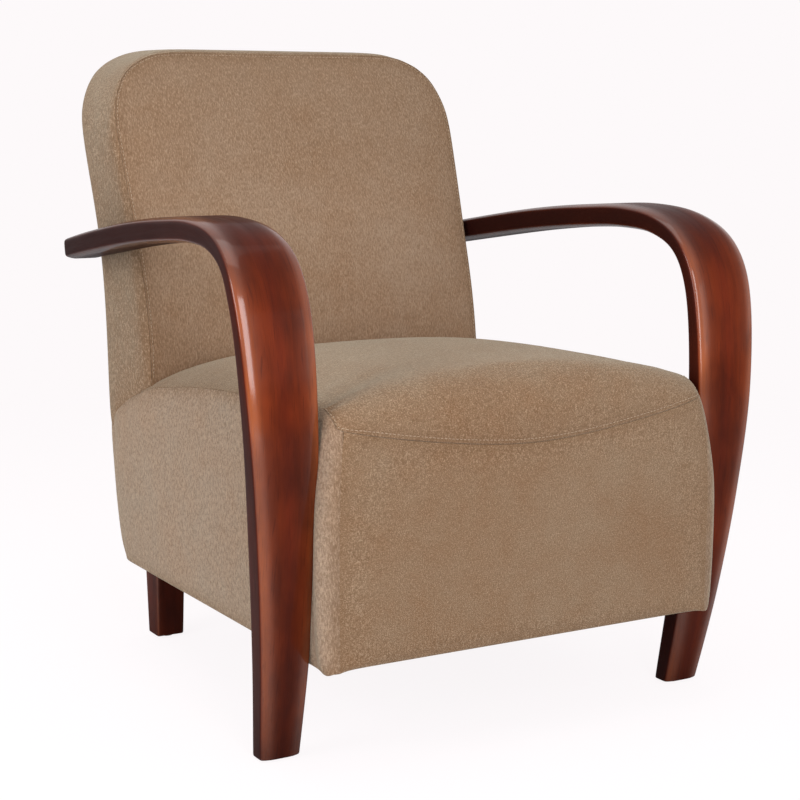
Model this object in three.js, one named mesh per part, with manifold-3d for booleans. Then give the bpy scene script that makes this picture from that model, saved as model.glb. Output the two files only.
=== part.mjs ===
// A low upholstered armchair with bentwood arms.
// Each arm is one bent piece of wood: the front leg, the armrest and a tail that is bolted to the back.
// Between the arms sits an upholstered box seat and a leaning back with rounded top corners.
// Lengths are in millimetres, +Z is up, -Y is the front, and the origin is on the floor under the middle.

import * as THREE from 'three';
import { mergeVertices } from 'three/addons/utils/BufferGeometryUtils.js';
import Module from 'manifold-3d';

const wasm = await Module();
wasm.setup();

// Driving dimensions of the whole chair
const chairDepth = 767;
const backHeight = 798;
const seatWidth = 522;
const seatHeight = 431;
const boxBottom = 115;

// Clearances and stock
const fit = 0.3;
const overrun = 20;
const clothThickness = 1.2;
const clothHem = 20;
const seamGap = 0.4;

// Seat box: outline, crown and seams
const frontEdgeRadius = 45;
const boxCornerRadius = 14;
const rearCornerRadius = 20;
const sideDraw = 5;
const seatPeakSetback = 179;
const seatCreaseSetback = 499;
const seatRearFall = 28;
const seatRearFallPower = 2.3;
const crownPower = 3;
const crownFadePower = 4;
const frontSeamSag = 38;
const frontSeamPower = 1.5;
const cornerSeamDrop = 48;
const sideSeamDrop = 3;
const seatTopLevelShare = 0.338;
const sideEdgeDepthShares = [0, 0.057, 0.31, 0.464, 0.643, 0.691, 0.751, 0.821, 0.859];
const sideEdgeHeightShares = [0.933, 0.933, 0.914, 0.893, 0.849, 0.831, 0.78, 0.691, 0.659];
const seatColumnShares = [-1, -0.93, -0.8, -0.6, -0.32, 0, 0.32, 0.6, 0.8, 0.93, 1];
const frontRollAngles = [0, 25, 50, 70, 90];
const seatRowShares = [0.17, 0.27, 0.37, 0.47, 0.56, 0.63, 0.69, 0.73, 0.765];
const seatRearRowShares = [0.5, 1];

// Back: the shape of the front and rear faces seen from the side, and the half width seen from the front
const backFlare = 4;
const backCornerRadius = 106;
const backCrown = 16;
const backBottom = 270;
const frontFaceHeightShares = [0.3, 0.494, 0.573, 0.627, 0.708, 0.81, 0.883, 1];
const frontFaceDepthShares = [0.67, 0.675, 0.686, 0.703, 0.73, 0.768, 0.795, 0.841];
const rearFaceHeightShares = [0.144, 0.165, 0.2, 0.338, 0.476, 0.602, 0.702, 0.802, 0.902, 1];
const rearFaceDepthShares = [0.802, 0.819, 0.8305, 0.855, 0.872, 0.884, 0.901, 0.932, 0.965, 1];
const backWidthHeightShares = [0.144, 0.338, 0.46, 0.564, 0.677, 0.815, 0.89];
const backWidthShares = [0.992, 0.985, 0.977, 0.973, 0.977, 0.996, 1];
const backColumnShares = [-1, -0.88, -0.6, 0, 0.6, 0.88, 1];
const levelShares = [
  0.144, 0.165, 0.2, 0.27, 0.338, 0.41, 0.476, 0.54, 0.602, 0.652, 0.702, 0.752, 0.802, 0.867, 0.93, 1,
];
const cornerArcAngles = [0, 22.5, 45, 67.5, 90];
const tableTension = 0.5;
const tableSamples = 8;

// Padding
const sidePadding = 8;
const frontPadding = 12;
const topPadding = 13;
const postWadding = 13.5;
const postRearEase = 6.5;
const feltThickness = 4;
const seatFoamFront = 81;
const seatFoamRear = 126;

// Hardwood frame
const railThickness = 22;
const upperRailHeight = 60;
const lowerRailHeight = 60;
const boardThickness = 3;
const frontPostSize = 45;
const backPostDepth = 50;
const topJointDrop = 2;
const topRailThickness = 40;
const rearBeamDepth = 38;
const rearBeamHeight = 45;
const seatRailEase = 4;
const lumbarRailDrop = 59;
const lumbarRailHeight = 50;
const lumbarSetback = 6;

// Springs and webbing
const springPitch = 88;
const springWire = 3.6;
const springHalfWidth = 21;
const springBends = 13;
const springSides = 5;
const springStepsPerBend = 4;
const springTension = 0.9;
const webbingWidth = 50;
const webbingThickness = 1.5;
const webbingGap = 16;
const webbingEndGap = 10;

// Bentwood arms
const armWidth = 92;
const armThickness = 32;
const armOuterRadius = 13;
const armInnerRadius = 5;
const armOuterCapShare = 0.45;
const armInnerCapShare = 0.3;
const armCornerAngles = [0, 30, 60, 90];
const armFootSetback = 96;
const armTailSetback = 14;
const armRise = 582;
const armBow = 49;
const armBowShares = [0, 0.493, 0.834, 0.999, 0.67, 0.117, 0, 0, 0, 0, 0, 0];
const armReachShares = [0, 0, 0, 0, 0, 0, 0.07, 0.184, 0.337, 0.538, 0.823, 1];
const armHeightShares = [0, 0.212, 0.434, 0.665, 0.875, 0.95, 0.988, 1, 0.993, 0.974, 0.935, 0.908];
const armWidthShares = [0.54, 0.66, 0.78, 0.9, 0.97, 0.95, 0.9, 0.85, 0.8, 0.75, 0.68, 0.6];
const armThicknessShares = [0.93, 1.05, 1.08, 0.92, 0.8, 0.78, 0.86, 0.93, 0.94, 0.96, 0.95, 0.92];
const armSteps = 46;
const armTipLength = 22;
const armTipWidthShare = 0.45;
const armTipThicknessShare = 0.45;
const armTipSteps = 4;
const footEase = 3;
const footRings = 2;

// Rear legs
const rearLegBottomSize = 34;
const rearLegTopSize = 42;
const rearLegDraw = 58;
const rearLegInset = 18;
const rearLegEase = 4;

// Floor glides
const glideRadius = 9;
const glideThickness = 2.5;
const glidePinRadius = 1.5;
const glidePinLength = 9;

// Bolts
const boltRadius = 4;
const boltClearance = 0.3;
const boltHeadRadius = 6.5;
const boltHeadHeight = 5.5;
const washerRadius = 10;
const washerThickness = 1.6;
const boltReach = 28;
const boltSides = 12;
const lowerBoltRise = 73;
const upperBoltDrop = 40;
const legBoltDepth = 45;

// Derived places
const frontY = -chairDepth / 2;
const backWidth = seatWidth + backFlare;
const sideX = seatWidth / 2;
const skin = clothThickness + fit;
const woodX = sideX - skin - sidePadding;
const woodFront = frontY + skin + frontPadding;
const woodBottom = boxBottom + skin + fit;
const postX = backWidth / 2 - skin - postWadding;
const armInnerX = sideX + seamGap;
const footBottom = glideThickness + fit;
const footY = frontY + armFootSetback;
const tailZ = footBottom + armHeightShares.at(-1) * armRise;
const rearLegX = sideX - rearLegDraw;
const backPostTop = backHeight - backCornerRadius - topJointDrop;
const lumbarRailBottom = seatHeight - lumbarRailDrop;
const railX = woodX - boardThickness - fit;
const quarterTurn = 90;

// Colours of the photographed chair
const colours = {
  mahogany: { color: '#5c2313', roughness: 0.32, metalness: 0 },
  beech: { color: '#c9a574', roughness: 0.75, metalness: 0 },
  hardboard: { color: '#6f4f35', roughness: 0.9, metalness: 0 },
  foam: { color: '#e8dfb8', roughness: 0.95, metalness: 0 },
  felt: { color: '#77716a', roughness: 1, metalness: 0 },
  velour: { color: '#937553', roughness: 0.95, metalness: 0 },
  lining: { color: '#171615', roughness: 0.95, metalness: 0 },
  elastic: { color: '#2b2a2c', roughness: 0.9, metalness: 0 },
  springSteel: { color: '#5a5f63', roughness: 0.4, metalness: 0.9 },
  zinc: { color: '#b9bcbd', roughness: 0.35, metalness: 0.9 },
  plastic: { color: '#3a3432', roughness: 0.6, metalness: 0 },
};

const chair = new THREE.Group();

// Adds one named piece to the chair in the colour of its material.
function addPiece(name, finish, geometry) {
  const piece = new THREE.Mesh(geometry, new THREE.MeshStandardMaterial(colours[finish]));
  piece.name = name;
  chair.add(piece);
}

// The value at a place along a table of places and values, read along straight lines between them.
function readTable(places, values, place) {
  let i = 0;
  while (i < places.length - 2 && place > places[i + 1]) i += 1;
  const share = (place - places[i]) / (places[i + 1] - places[i]);
  return values[i] + (values[i + 1] - values[i]) * Math.min(Math.max(share, 0), 1);
}

// A smooth curve through a table of places and values, read at one place.
function smoothTable(places, values) {
  const points = places.map((place, i) => new THREE.Vector3(place, values[i], 0));
  const curve = new THREE.CatmullRomCurve3(points, false, 'catmullrom', tableTension);
  const samples = curve.getPoints(places.length * tableSamples);
  const fine = samples.map((p) => p.x);
  const fineValues = samples.map((p) => p.y);
  return (place) => readTable(fine, fineValues, place);
}

const levels = levelShares.map((share) => share * backHeight);

// A smooth table of shares of one size, read along straight lines between the chair's levels.
function levelTable(places, values, size, start) {
  const smooth = smoothTable(places, values);
  const atLevels = levels.map((z) => start + size * smooth(z / backHeight));
  return (z) => readTable(levels, atLevels, z);
}

// The outer face of the back and of the box below it, at a height.
const rearFaceY = levelTable(rearFaceHeightShares, rearFaceDepthShares, chairDepth, frontY);
// The front face of the back at its side seam.
const frontFaceY = levelTable(frontFaceHeightShares, frontFaceDepthShares, chairDepth, frontY);
// Half the width of the back.
const backHalfWidth = levelTable(backWidthHeightShares, backWidthShares, backWidth / 2, 0);
// The height of the seat's side edge at a depth.
const sideEdgeShare = smoothTable(sideEdgeDepthShares, sideEdgeHeightShares);
const sideEdgeZ = (y) => seatHeight * sideEdgeShare((y - frontY) / chairDepth);

// The rear and front faces of the back posts at a height.
const postRearY = (z) => rearFaceY(z) - skin - postRearEase;
const postFrontY = (z) => postRearY(z) - backPostDepth;

// Places that follow the back: the rear seat rail, the deck under the foam, the rear legs and the arms.
const deckFrontZ = seatHeight - seatFoamFront;
const deckRearZ = seatHeight - seatFoamRear;
const rearRailEnd = postFrontY(deckRearZ) - seatRailEase;
const rearRailFront = rearRailEnd - railThickness;
const deckSlope = (deckRearZ - deckFrontZ) / (rearRailFront - woodFront);
const rearLegY = rearFaceY(boxBottom) - rearLegInset;
const armReach = rearFaceY(tailZ) - armTailSetback - footY;

// The heights from bottom to top that a piece has rows at: its ends, the chair's levels and its own.
function rowsBetween(bottom, top, own) {
  const inside = [...levels, ...own].filter((z) => z > bottom + fit && z < top - fit);
  return [bottom, ...inside.sort((a, b) => a - b), top];
}

// The height along the middle of the seat at a depth.
function ridgeZ(y) {
  const past = (y - frontY - seatPeakSetback) / (seatCreaseSetback - seatPeakSetback);
  return seatHeight - seatRearFall * Math.pow(Math.max(past, 0), seatRearFallPower);
}

// The height of the seat's crowned top at a place across, given as a share of the half width.
function seatTopZ(share, y) {
  return ridgeZ(y) - (ridgeZ(y) - sideEdgeZ(y)) * Math.pow(Math.abs(share), crownPower);
}

// The height of the lower face of the seat foam, which slopes down to the rear.
const deckZ = (y) => deckFrontZ + deckSlope * (y - woodFront);
const underWire = (y) => deckZ(y) - feltThickness - springWire - 3 * fit;
const underFelt = (y) => deckZ(y) - feltThickness - 2 * fit;

// A closed geometry from points and triangles, turned so that its faces point out.
function closedGeometry(points, triangles) {
  let volume = 0;
  for (const [a, b, c] of triangles) {
    volume += points[a].dot(new THREE.Vector3().crossVectors(points[b], points[c]));
  }
  const faces = volume < 0 ? triangles.map(([a, b, c]) => [a, c, b]) : triangles;
  const geometry = new THREE.BufferGeometry().setFromPoints(points);
  geometry.setIndex(faces.flat());
  geometry.computeVertexNormals();
  return geometry;
}

// A solid between closed rings of equally many points, with a fan over each end.
function loft(rings) {
  const count = rings[0].length;
  const points = rings.flat();
  const triangles = [];
  for (let r = 0; r < rings.length - 1; r += 1) {
    for (let i = 0; i < count; i += 1) {
      const a = r * count + i;
      const b = r * count + ((i + 1) % count);
      triangles.push([a, b, b + count], [a, b + count, a + count]);
    }
  }
  for (const [ring, flip] of [[0, true], [rings.length - 1, false]]) {
    const middle = new THREE.Vector3();
    for (const p of rings[ring]) middle.addScaledVector(p, 1 / count);
    const hub = points.push(middle) - 1;
    for (let i = 0; i < count; i += 1) {
      const a = ring * count + i;
      const b = ring * count + ((i + 1) % count);
      triangles.push(flip ? [hub, b, a] : [hub, a, b]);
    }
  }
  return closedGeometry(points, triangles);
}

// The border of a grid of points, once round.
function gridBorder(grid) {
  const last = grid.length - 1;
  const right = grid[0].length - 1;
  return [
    ...grid[0],
    ...grid.slice(1, last).map((row) => row[right]),
    ...[...grid[last]].reverse(),
    ...grid.slice(1, last).map((row) => row[0]).reverse(),
  ];
}

// A solid between a lower and an upper grid of points, with rings of wall points between their borders.
function blockBetween(lower, upper, wallRings) {
  const points = [];
  const triangles = [];
  const addGrid = (grid, flip) => {
    const start = points.length;
    const across = grid[0].length;
    points.push(...grid.flat());
    for (let r = 0; r < grid.length - 1; r += 1) {
      for (let c = 0; c < across - 1; c += 1) {
        const a = start + r * across + c;
        const quad = [[a, a + 1, a + across + 1], [a, a + across + 1, a + across]];
        triangles.push(...quad.map(([p, q, s]) => (flip ? [p, s, q] : [p, q, s])));
      }
    }
  };
  addGrid(lower, true);
  addGrid(upper, false);
  const rings = [gridBorder(lower), ...wallRings, gridBorder(upper)];
  const count = rings[0].length;
  const start = points.length;
  points.push(...rings.flat());
  for (let r = 0; r < rings.length - 1; r += 1) {
    for (let i = 0; i < count; i += 1) {
      const a = start + r * count + i;
      const b = start + r * count + ((i + 1) % count);
      triangles.push([a, b, b + count], [a, b + count, a + count]);
    }
  }
  return mergeVertices(stripped(closedGeometry(points, triangles)));
}

// A copy of a geometry that holds positions only.
function stripped(geometry) {
  const bare = geometry.clone();
  bare.deleteAttribute('normal');
  bare.deleteAttribute('uv');
  return bare;
}

// A geometry as a solid that can be joined and cut.
function solid(geometry) {
  const merged = mergeVertices(stripped(geometry));
  const vertProperties = new Float32Array(merged.attributes.position.array);
  const triVerts = new Uint32Array(merged.index.array);
  return new wasm.Manifold(new wasm.Mesh({ numProp: 3, vertProperties, triVerts }));
}

// A solid as a geometry.
function geometryOf(body) {
  const mesh = body.getMesh();
  const geometry = new THREE.BufferGeometry();
  geometry.setAttribute('position', new THREE.BufferAttribute(mesh.vertProperties, 3));
  geometry.setIndex(new THREE.BufferAttribute(mesh.triVerts, 1));
  geometry.computeVertexNormals();
  return geometry;
}

// A box between two corners.
function boxBetween(low, high) {
  const size = high.map((value, i) => value - low[i]);
  const middle = high.map((value, i) => (value + low[i]) / 2);
  return new THREE.BoxGeometry(...size).translate(...middle);
}

// A slab whose outline is drawn in the side view, as depth and height, and runs from x1 to x2.
function sideSlab(outline, x1, x2) {
  const shape = new THREE.Shape(outline.map(([y, z]) => new THREE.Vector2(y, z)));
  const slab = new THREE.ExtrudeGeometry(shape, { depth: x2 - x1, bevelEnabled: false });
  const turn = new THREE.Matrix4().makeBasis(
    new THREE.Vector3(0, 1, 0),
    new THREE.Vector3(0, 0, 1),
    new THREE.Vector3(1, 0, 0),
  );
  return slab.applyMatrix4(turn).translate(x1, 0, 0);
}

// A rod along an axis, from a start point.
function rod(radius, length, axis, start) {
  const cylinder = new THREE.CylinderGeometry(radius, radius, length, boltSides).translate(0, length / 2, 0);
  const turn = new THREE.Quaternion().setFromUnitVectors(new THREE.Vector3(0, 1, 0), axis);
  return cylinder.applyQuaternion(turn).translate(...start);
}

// Cuts a geometry by others and gives back one geometry.
function cutBy(geometry, cutters) {
  return geometryOf(cutters.reduce((body, cutter) => body.subtract(solid(cutter)), solid(geometry)));
}

// The part of a body that lies within a region and outside others.
function pieceOf(body, within, without) {
  return without.reduce((rest, region) => rest.subtract(region), body.intersect(within));
}

// Seat box. The closed outer form, drawn in by an inset on every side.
function seatBody(inset) {
  const radius = frontEdgeRadius - inset;
  const front = frontY + inset;
  const half = sideX - inset;
  const rollY = frontY + frontEdgeRadius;
  const cornerShare = 1 - Math.SQRT1_2;
  const rows = [];
  for (const angle of frontRollAngles) {
    const turn = THREE.MathUtils.degToRad(angle);
    rows.push({ y: front + radius * (1 - Math.cos(turn)), sink: radius * (1 - Math.sin(turn)), from: rollY });
  }
  for (const share of seatRowShares) rows.push({ y: frontY + share * chairDepth, sink: 0 });
  const lastY = rows.at(-1).y;
  for (const reach of seatRearRowShares) rows.push({ fromRear: rearCornerRadius, reach, sink: 0 });
  rows.push({ fromRear: 0, reach: 1, sink: 0 });
  const corners = { 0: boxCornerRadius, [rows.length - 1]: -rearCornerRadius };
  const lastColumn = seatColumnShares.length - 1;
  const rearAt = (row, z) => lastY + row.reach * (rearFaceY(z) - inset - row.fromRear - lastY);
  const depth = (row, z) => ('y' in row ? row.y : rearAt(row, z));
  const topOf = (row, share) => {
    const y = 'y' in row ? row.y : rearAt(row, levels[levelShares.indexOf(seatTopLevelShare)]);
    return seatTopZ(share, row.from ?? y) - inset - row.sink;
  };
  // A point of the grid, on the top or at a height of the wall below it.
  const place = (r, c, height) => {
    const row = rows[r];
    const share = seatColumnShares[c];
    const onTop = height === undefined;
    const z = onTop ? topOf(row, share) : height;
    let x = share * (half - (onTop ? sideDraw : 0));
    let y = depth(row, z);
    if (r in corners && (c === 0 || c === lastColumn)) {
      x -= Math.sign(share) * Math.abs(corners[r]) * cornerShare;
      y += corners[r] * cornerShare;
    }
    return new THREE.Vector3(x, y, z);
  };
  const gridAt = (height) => rows.map((_, r) => seatColumnShares.map((__, c) => place(r, c, height)));
  const wallHeights = levels.filter((z) => z > boxBottom + fit && z <= seatTopLevelShare * backHeight);
  return blockBetween(gridAt(boxBottom + inset), gridAt(), wallHeights.map((z) => gridBorder(gridAt(z))));
}

// Half the width of an upright outline at a height, with its rounded top corners.
function roundedHalf(half, z, top, cornerRadius) {
  const rise = Math.max(z - (top - cornerRadius), 0) / cornerRadius;
  const turns = cornerArcAngles.map(THREE.MathUtils.degToRad);
  return half - cornerRadius * (1 - readTable(turns.map(Math.sin), turns.map(Math.cos), rise));
}

// The heights of the rows round an upright outline's top corners.
function cornerRows(top, cornerRadius) {
  return cornerArcAngles.map((angle) => top - cornerRadius * (1 - Math.sin(THREE.MathUtils.degToRad(angle))));
}

// An upright body made of level slices, with rounded top corners, a crowned front and turned rear edges.
function uprightBody({ bottom, top, cornerRadius, halfWidth, front, rear, crown, rearTurn }) {
  const middle = (bottom + top) / 2;
  const rings = rowsBetween(bottom, top, cornerRows(top, cornerRadius)).map((z) => {
    const half = roundedHalf(halfWidth(z), z, top, cornerRadius);
    const fade = 1 - Math.pow(Math.abs(z - middle) / (middle - bottom), crownFadePower);
    const frontPoints = backColumnShares.map((share) => {
      const swell = crown * fade * (1 - Math.pow(Math.abs(share), crownPower));
      return new THREE.Vector3(share * half, front(z) - swell, z);
    });
    const turned = rearTurn * (1 - Math.SQRT1_2);
    const rearCorner = [[half, rearTurn], [half - turned, turned], [half - rearTurn, 0]];
    const rearPoints = rearCorner.map(([x, back]) => new THREE.Vector3(x, rear(z) - back, z));
    const otherPoints = rearCorner.map(([x, back]) => new THREE.Vector3(-x, rear(z) - back, z)).reverse();
    return [...frontPoints, ...rearPoints, new THREE.Vector3(0, rear(z), z), ...otherPoints];
  });
  return loft(rings);
}

// The back's closed outer form, drawn in by an inset.
function backBody(inset) {
  return uprightBody({
    bottom: backBottom + inset,
    top: backHeight - inset,
    cornerRadius: backCornerRadius - inset,
    halfWidth: (z) => backHalfWidth(z) - inset,
    front: (z) => frontFaceY(z) + inset,
    rear: (z) => rearFaceY(z) - inset,
    crown: backCrown,
    rearTurn: rearCornerRadius - inset,
  });
}

// The hollow in the back foam that holds the frame and its webbing.
function backHollow(clearance) {
  return uprightBody({
    bottom: backBottom - overrun,
    top: backHeight - skin - topPadding + clearance,
    cornerRadius: backCornerRadius - skin - topPadding + clearance,
    halfWidth: () => postX + clearance,
    front: (z) => postFrontY(z) - webbingThickness - fit - clearance,
    rear: (z) => rearFaceY(z) + overrun,
    crown: 0,
    rearTurn: fit,
  });
}

// Everything behind the seam round the outside back panel, narrowed by a gap.
function outsideBackRegion(gap) {
  return solid(uprightBody({
    bottom: boxBottom - overrun,
    top: backHeight - rearCornerRadius - gap,
    cornerRadius: backCornerRadius - rearCornerRadius - gap,
    halfWidth: (z) => backHalfWidth(z) - rearCornerRadius - gap,
    front: (z) => rearFaceY(z) - overrun,
    rear: (z) => rearFaceY(z) + overrun,
    crown: 0,
    rearTurn: fit,
  }));
}

// The height of the seam that joins the front cover to the top cover.
function frontSeamZ(share) {
  const corner = seatHeight - cornerSeamDrop;
  return corner - frontSeamSag * (1 - Math.pow(Math.abs(share), frontSeamPower));
}

// Everything above the seams of the seat's top cover.
function aboveTopSeam(lift) {
  const rollY = frontY + frontEdgeRadius;
  const cornerY = frontY + boxCornerRadius;
  const rows = [frontY - overrun, cornerY, rollY];
  const rearShares = sideEdgeDepthShares.filter((share) => share > seatRowShares.at(-1));
  for (const share of [...seatRowShares, ...rearShares, 1]) rows.push(frontY + share * chairDepth);
  const seam = (share, y) => {
    const side = sideEdgeZ(Math.max(y, rollY)) - sideSeamDrop;
    const z = y < rollY ? frontSeamZ(share) : side;
    return z + lift;
  };
  const across = seatColumnShares.map((share) => [share, share * (sideX + overrun)]);
  const lower = rows.map((y) => across.map(([share, x]) => new THREE.Vector3(x, y, seam(share, y))));
  const upper = rows.map((y) => across.map(([, x]) => new THREE.Vector3(x, y, seatHeight + overrun)));
  return solid(blockBetween(lower, upper, []));
}

// Everything in front of the mitred front corners of the box.
function beforeCorners(gap) {
  const out = overrun;
  const deep = frontEdgeRadius;
  const shape = new THREE.Shape([
    new THREE.Vector2(-sideX - out + gap, frontY - out),
    new THREE.Vector2(sideX + out - gap, frontY - out),
    new THREE.Vector2(sideX - deep - gap, frontY + deep),
    new THREE.Vector2(-sideX + deep + gap, frontY + deep),
  ]);
  return solid(new THREE.ExtrudeGeometry(shape, { depth: seatHeight, bevelEnabled: false }));
}

// Everything in front of the seam round the inside back.
function beforeBackSeam(setback) {
  const outline = [[frontY, backBottom - overrun]];
  for (const z of rowsBetween(backBottom - overrun, backHeight + overrun, [])) {
    outline.push([frontFaceY(z) + setback, z]);
  }
  outline.push([frontY, backHeight + overrun]);
  return solid(sideSlab(outline, -chairDepth / 2, chairDepth / 2));
}

// Bolts. Each runs along one axis, with its washer and head on the far side of the start.
function bolt(length, axis, start) {
  const profile = [
    [0, -washerThickness - boltHeadHeight],
    [boltHeadRadius, -washerThickness - boltHeadHeight],
    [boltHeadRadius, -washerThickness],
    [washerRadius, -washerThickness],
    [washerRadius, 0],
    [boltRadius, 0],
    [boltRadius, length],
    [0, length],
  ];
  const lathe = new THREE.LatheGeometry(profile.map(([r, h]) => new THREE.Vector2(r, h)), boltSides);
  const turn = new THREE.Quaternion().setFromUnitVectors(new THREE.Vector3(0, 1, 0), axis);
  return lathe.applyQuaternion(turn).translate(...start);
}

const armSide = { left: -1, right: 1 };
const frontPostInner = railX - frontPostSize;
const backPostInner = postX - railThickness;
const frontRailStart = woodFront + boardThickness + fit;
const frontPostFront = frontRailStart + railThickness + fit;
const frontPostRear = frontPostFront + frontPostSize;

// The places where a side's bolts start, seen from inside the frame.
function armBolts(side) {
  const heights = [woodBottom + lowerBoltRise, underFelt(frontPostRear) - upperBoltDrop];
  const front = heights.map((z) => ({ start: frontPostInner - fit, y: armMiddle('z', z).y, z }));
  const tailY = (postFrontY(tailZ) + postRearY(tailZ)) / 2;
  const tail = { start: backPostInner - fit, y: tailY, z: armMiddle('y', tailY).z };
  return [...front, tail].map((b) => ({ ...b, side, length: armInnerX + boltReach - b.start }));
}

// The hole that an arm's bolt passes through.
function boltHole({ side, start, y, z, length }) {
  const long = length + 2 * fit;
  return rod(boltRadius + boltClearance, long, new THREE.Vector3(side, 0, 0), [side * start, y, z]);
}

// The middle of the arm, as a curve in the side view.
function armCurve() {
  const points = armReachShares.map((share, i) => {
    const y = footY + share * armReach - armBowShares[i] * armBow;
    return new THREE.Vector3(0, y, footBottom + armHeightShares[i] * armRise);
  });
  return new THREE.CatmullRomCurve3(points, false, 'centripetal');
}

// The first point of the arm's middle line that reaches a height, or the last that is short of a depth.
function armMiddle(axis, place) {
  const points = armCurve().getPoints(armSteps * tableSamples);
  if (axis === 'z') return points.find((p) => p.z >= place);
  return points.findLast((p) => p.y <= place);
}

// A rounded section: across is the width from the inner face out, up is the thickness.
function armSection(width, thickness) {
  const outer = Math.min(armOuterRadius, thickness * armOuterCapShare);
  const inner = Math.min(armInnerRadius, thickness * armInnerCapShare);
  const corners = [
    { x: inner, z: -thickness / 2 + inner, radius: inner, from: 2 * quarterTurn },
    { x: width - outer, z: -thickness / 2 + outer, radius: outer, from: 3 * quarterTurn },
    { x: width - outer, z: thickness / 2 - outer, radius: outer, from: 0 },
    { x: inner, z: thickness / 2 - inner, radius: inner, from: quarterTurn },
  ];
  return corners.flatMap(({ x, z, radius, from }) => {
    return armCornerAngles.map((angle) => {
      const turn = THREE.MathUtils.degToRad(from + angle);
      return [x + radius * Math.cos(turn), z + radius * Math.sin(turn)];
    });
  });
}

// One bentwood arm, with its foot, armrest and tail.
function armGeometry(side) {
  const curve = armCurve();
  const knots = armReachShares.map((_, i) => i / (armReachShares.length - 1));
  const length = curve.getLength();
  const stops = [0, footEase / length];
  for (let i = 1; i <= armSteps; i += 1) stops.push((i / armSteps) * (1 - armTipLength / length));
  for (let i = 1; i <= armTipSteps; i += 1) {
    const turn = (i / armTipSteps) * (Math.PI / 2);
    stops.push(1 - (armTipLength / length) * (1 - Math.sin(turn)));
  }
  const rings = stops.map((stop, i) => {
    const t = curve.getUtoTmapping(stop);
    const point = curve.getPoint(t);
    const tangent = curve.getTangent(t);
    const fromTip = (1 - stop) * length;
    const past = Math.max(1 - fromTip / armTipLength, 0);
    const round = Math.sqrt(Math.max(1 - past * past, 0));
    let wide = armWidth * readTable(knots, armWidthShares, t);
    let thick = armThickness * readTable(knots, armThicknessShares, t);
    wide *= armTipWidthShare + (1 - armTipWidthShare) * round;
    thick *= armTipThicknessShare + (1 - armTipThicknessShare) * round;
    const ease = i === 0 ? footEase : 0;
    const out = i < footRings ? new THREE.Vector3(0, -1, 0) : new THREE.Vector3(0, -tangent.z, tangent.y);
    return armSection(wide - 2 * ease, thick - 2 * ease).map(([across, up]) => {
      return new THREE.Vector3(side * (armInnerX + ease + across), point.y, point.z).addScaledVector(out, up);
    });
  });
  const holes = armBolts(side).map(boltHole);
  const foot = curve.getPoint(0);
  holes.push(glideHole(side * (armInnerX + (armWidth * armWidthShares[0]) / 2), foot.y));
  return cutBy(loft(rings), holes);
}

// Floor glides: a round pad with a pin in the foot above it.
function glideGeometry(x, y) {
  const profile = [
    [0, 0],
    [glideRadius, 0],
    [glideRadius, glideThickness],
    [glidePinRadius, glideThickness],
    [glidePinRadius, glideThickness + glidePinLength],
    [0, glideThickness + glidePinLength],
  ];
  const lathe = new THREE.LatheGeometry(profile.map(([r, h]) => new THREE.Vector2(r, h)), boltSides);
  return lathe.rotateX(Math.PI / 2).translate(x, y, 0);
}

// The hole in a foot for its glide's pin.
function glideHole(x, y) {
  const deep = glidePinLength + 2 * fit + glideThickness;
  return rod(glidePinRadius + fit, deep, new THREE.Vector3(0, 0, 1), [x, y, 0]);
}

// A square leg that tapers down, with eased edges.
function rearLegGeometry(x, y) {
  const top = boxBottom - clothThickness - 3 * fit;
  const ring = (size, z) => {
    const half = size / 2;
    const flat = half - rearLegEase;
    const corners = [[half, flat], [flat, half], [-flat, half], [-half, flat]];
    const others = corners.map(([a, b]) => [-a, -b]);
    return [...corners, ...others].map(([a, b]) => new THREE.Vector3(x + a, y + b, z));
  };
  const rings = [
    ring(rearLegBottomSize - footEase, footBottom),
    ring(rearLegBottomSize, footBottom + footEase),
    ring(rearLegTopSize, top),
  ];
  const up = new THREE.Vector3(0, 0, 1);
  const boltFoot = boxBottom - legBoltDepth - fit;
  const hole = rod(boltRadius + boltClearance, legBoltDepth + overrun, up, [x, y, boltFoot]);
  return cutBy(loft(rings), [glideHole(x, y), hole]);
}

// One sinuous seat spring, zigzagging from the front rail to the rear rail.
function springGeometry(x) {
  const start = woodFront + boardThickness + railThickness / 2;
  const end = rearRailFront + railThickness / 2;
  const points = [];
  for (let i = 0; i <= springBends; i += 1) {
    const y = start + ((end - start) * i) / springBends;
    const turn = i === 0 || i === springBends ? 0 : (i % 2) * 2 - 1;
    const z = deckZ(y) - feltThickness - 2 * fit - springWire / 2;
    points.push(new THREE.Vector3(x + turn * springHalfWidth, y, z));
  }
  const path = new THREE.CatmullRomCurve3(points, false, 'catmullrom', springTension);
  const section = new THREE.Shape();
  for (let i = 0; i < springSides; i += 1) {
    const turn = (i / springSides) * 2 * Math.PI;
    const corner = [Math.cos(turn) * (springWire / 2), Math.sin(turn) * (springWire / 2)];
    if (i === 0) section.moveTo(...corner);
    else section.lineTo(...corner);
  }
  const steps = springBends * springStepsPerBend;
  return new THREE.ExtrudeGeometry(section, { steps, extrudePath: path, bevelEnabled: false });
}

// A strap that follows the front of the back posts between two heights.
function strapGeometry(low, high) {
  const rows = rowsBetween(low, high, []);
  const grid = (setback) => rows.map((z) => {
    return [-postX, postX].map((x) => new THREE.Vector3(x, postFrontY(z) - setback, z));
  });
  return blockBetween(grid(fit), grid(fit + webbingThickness), []);
}

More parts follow.
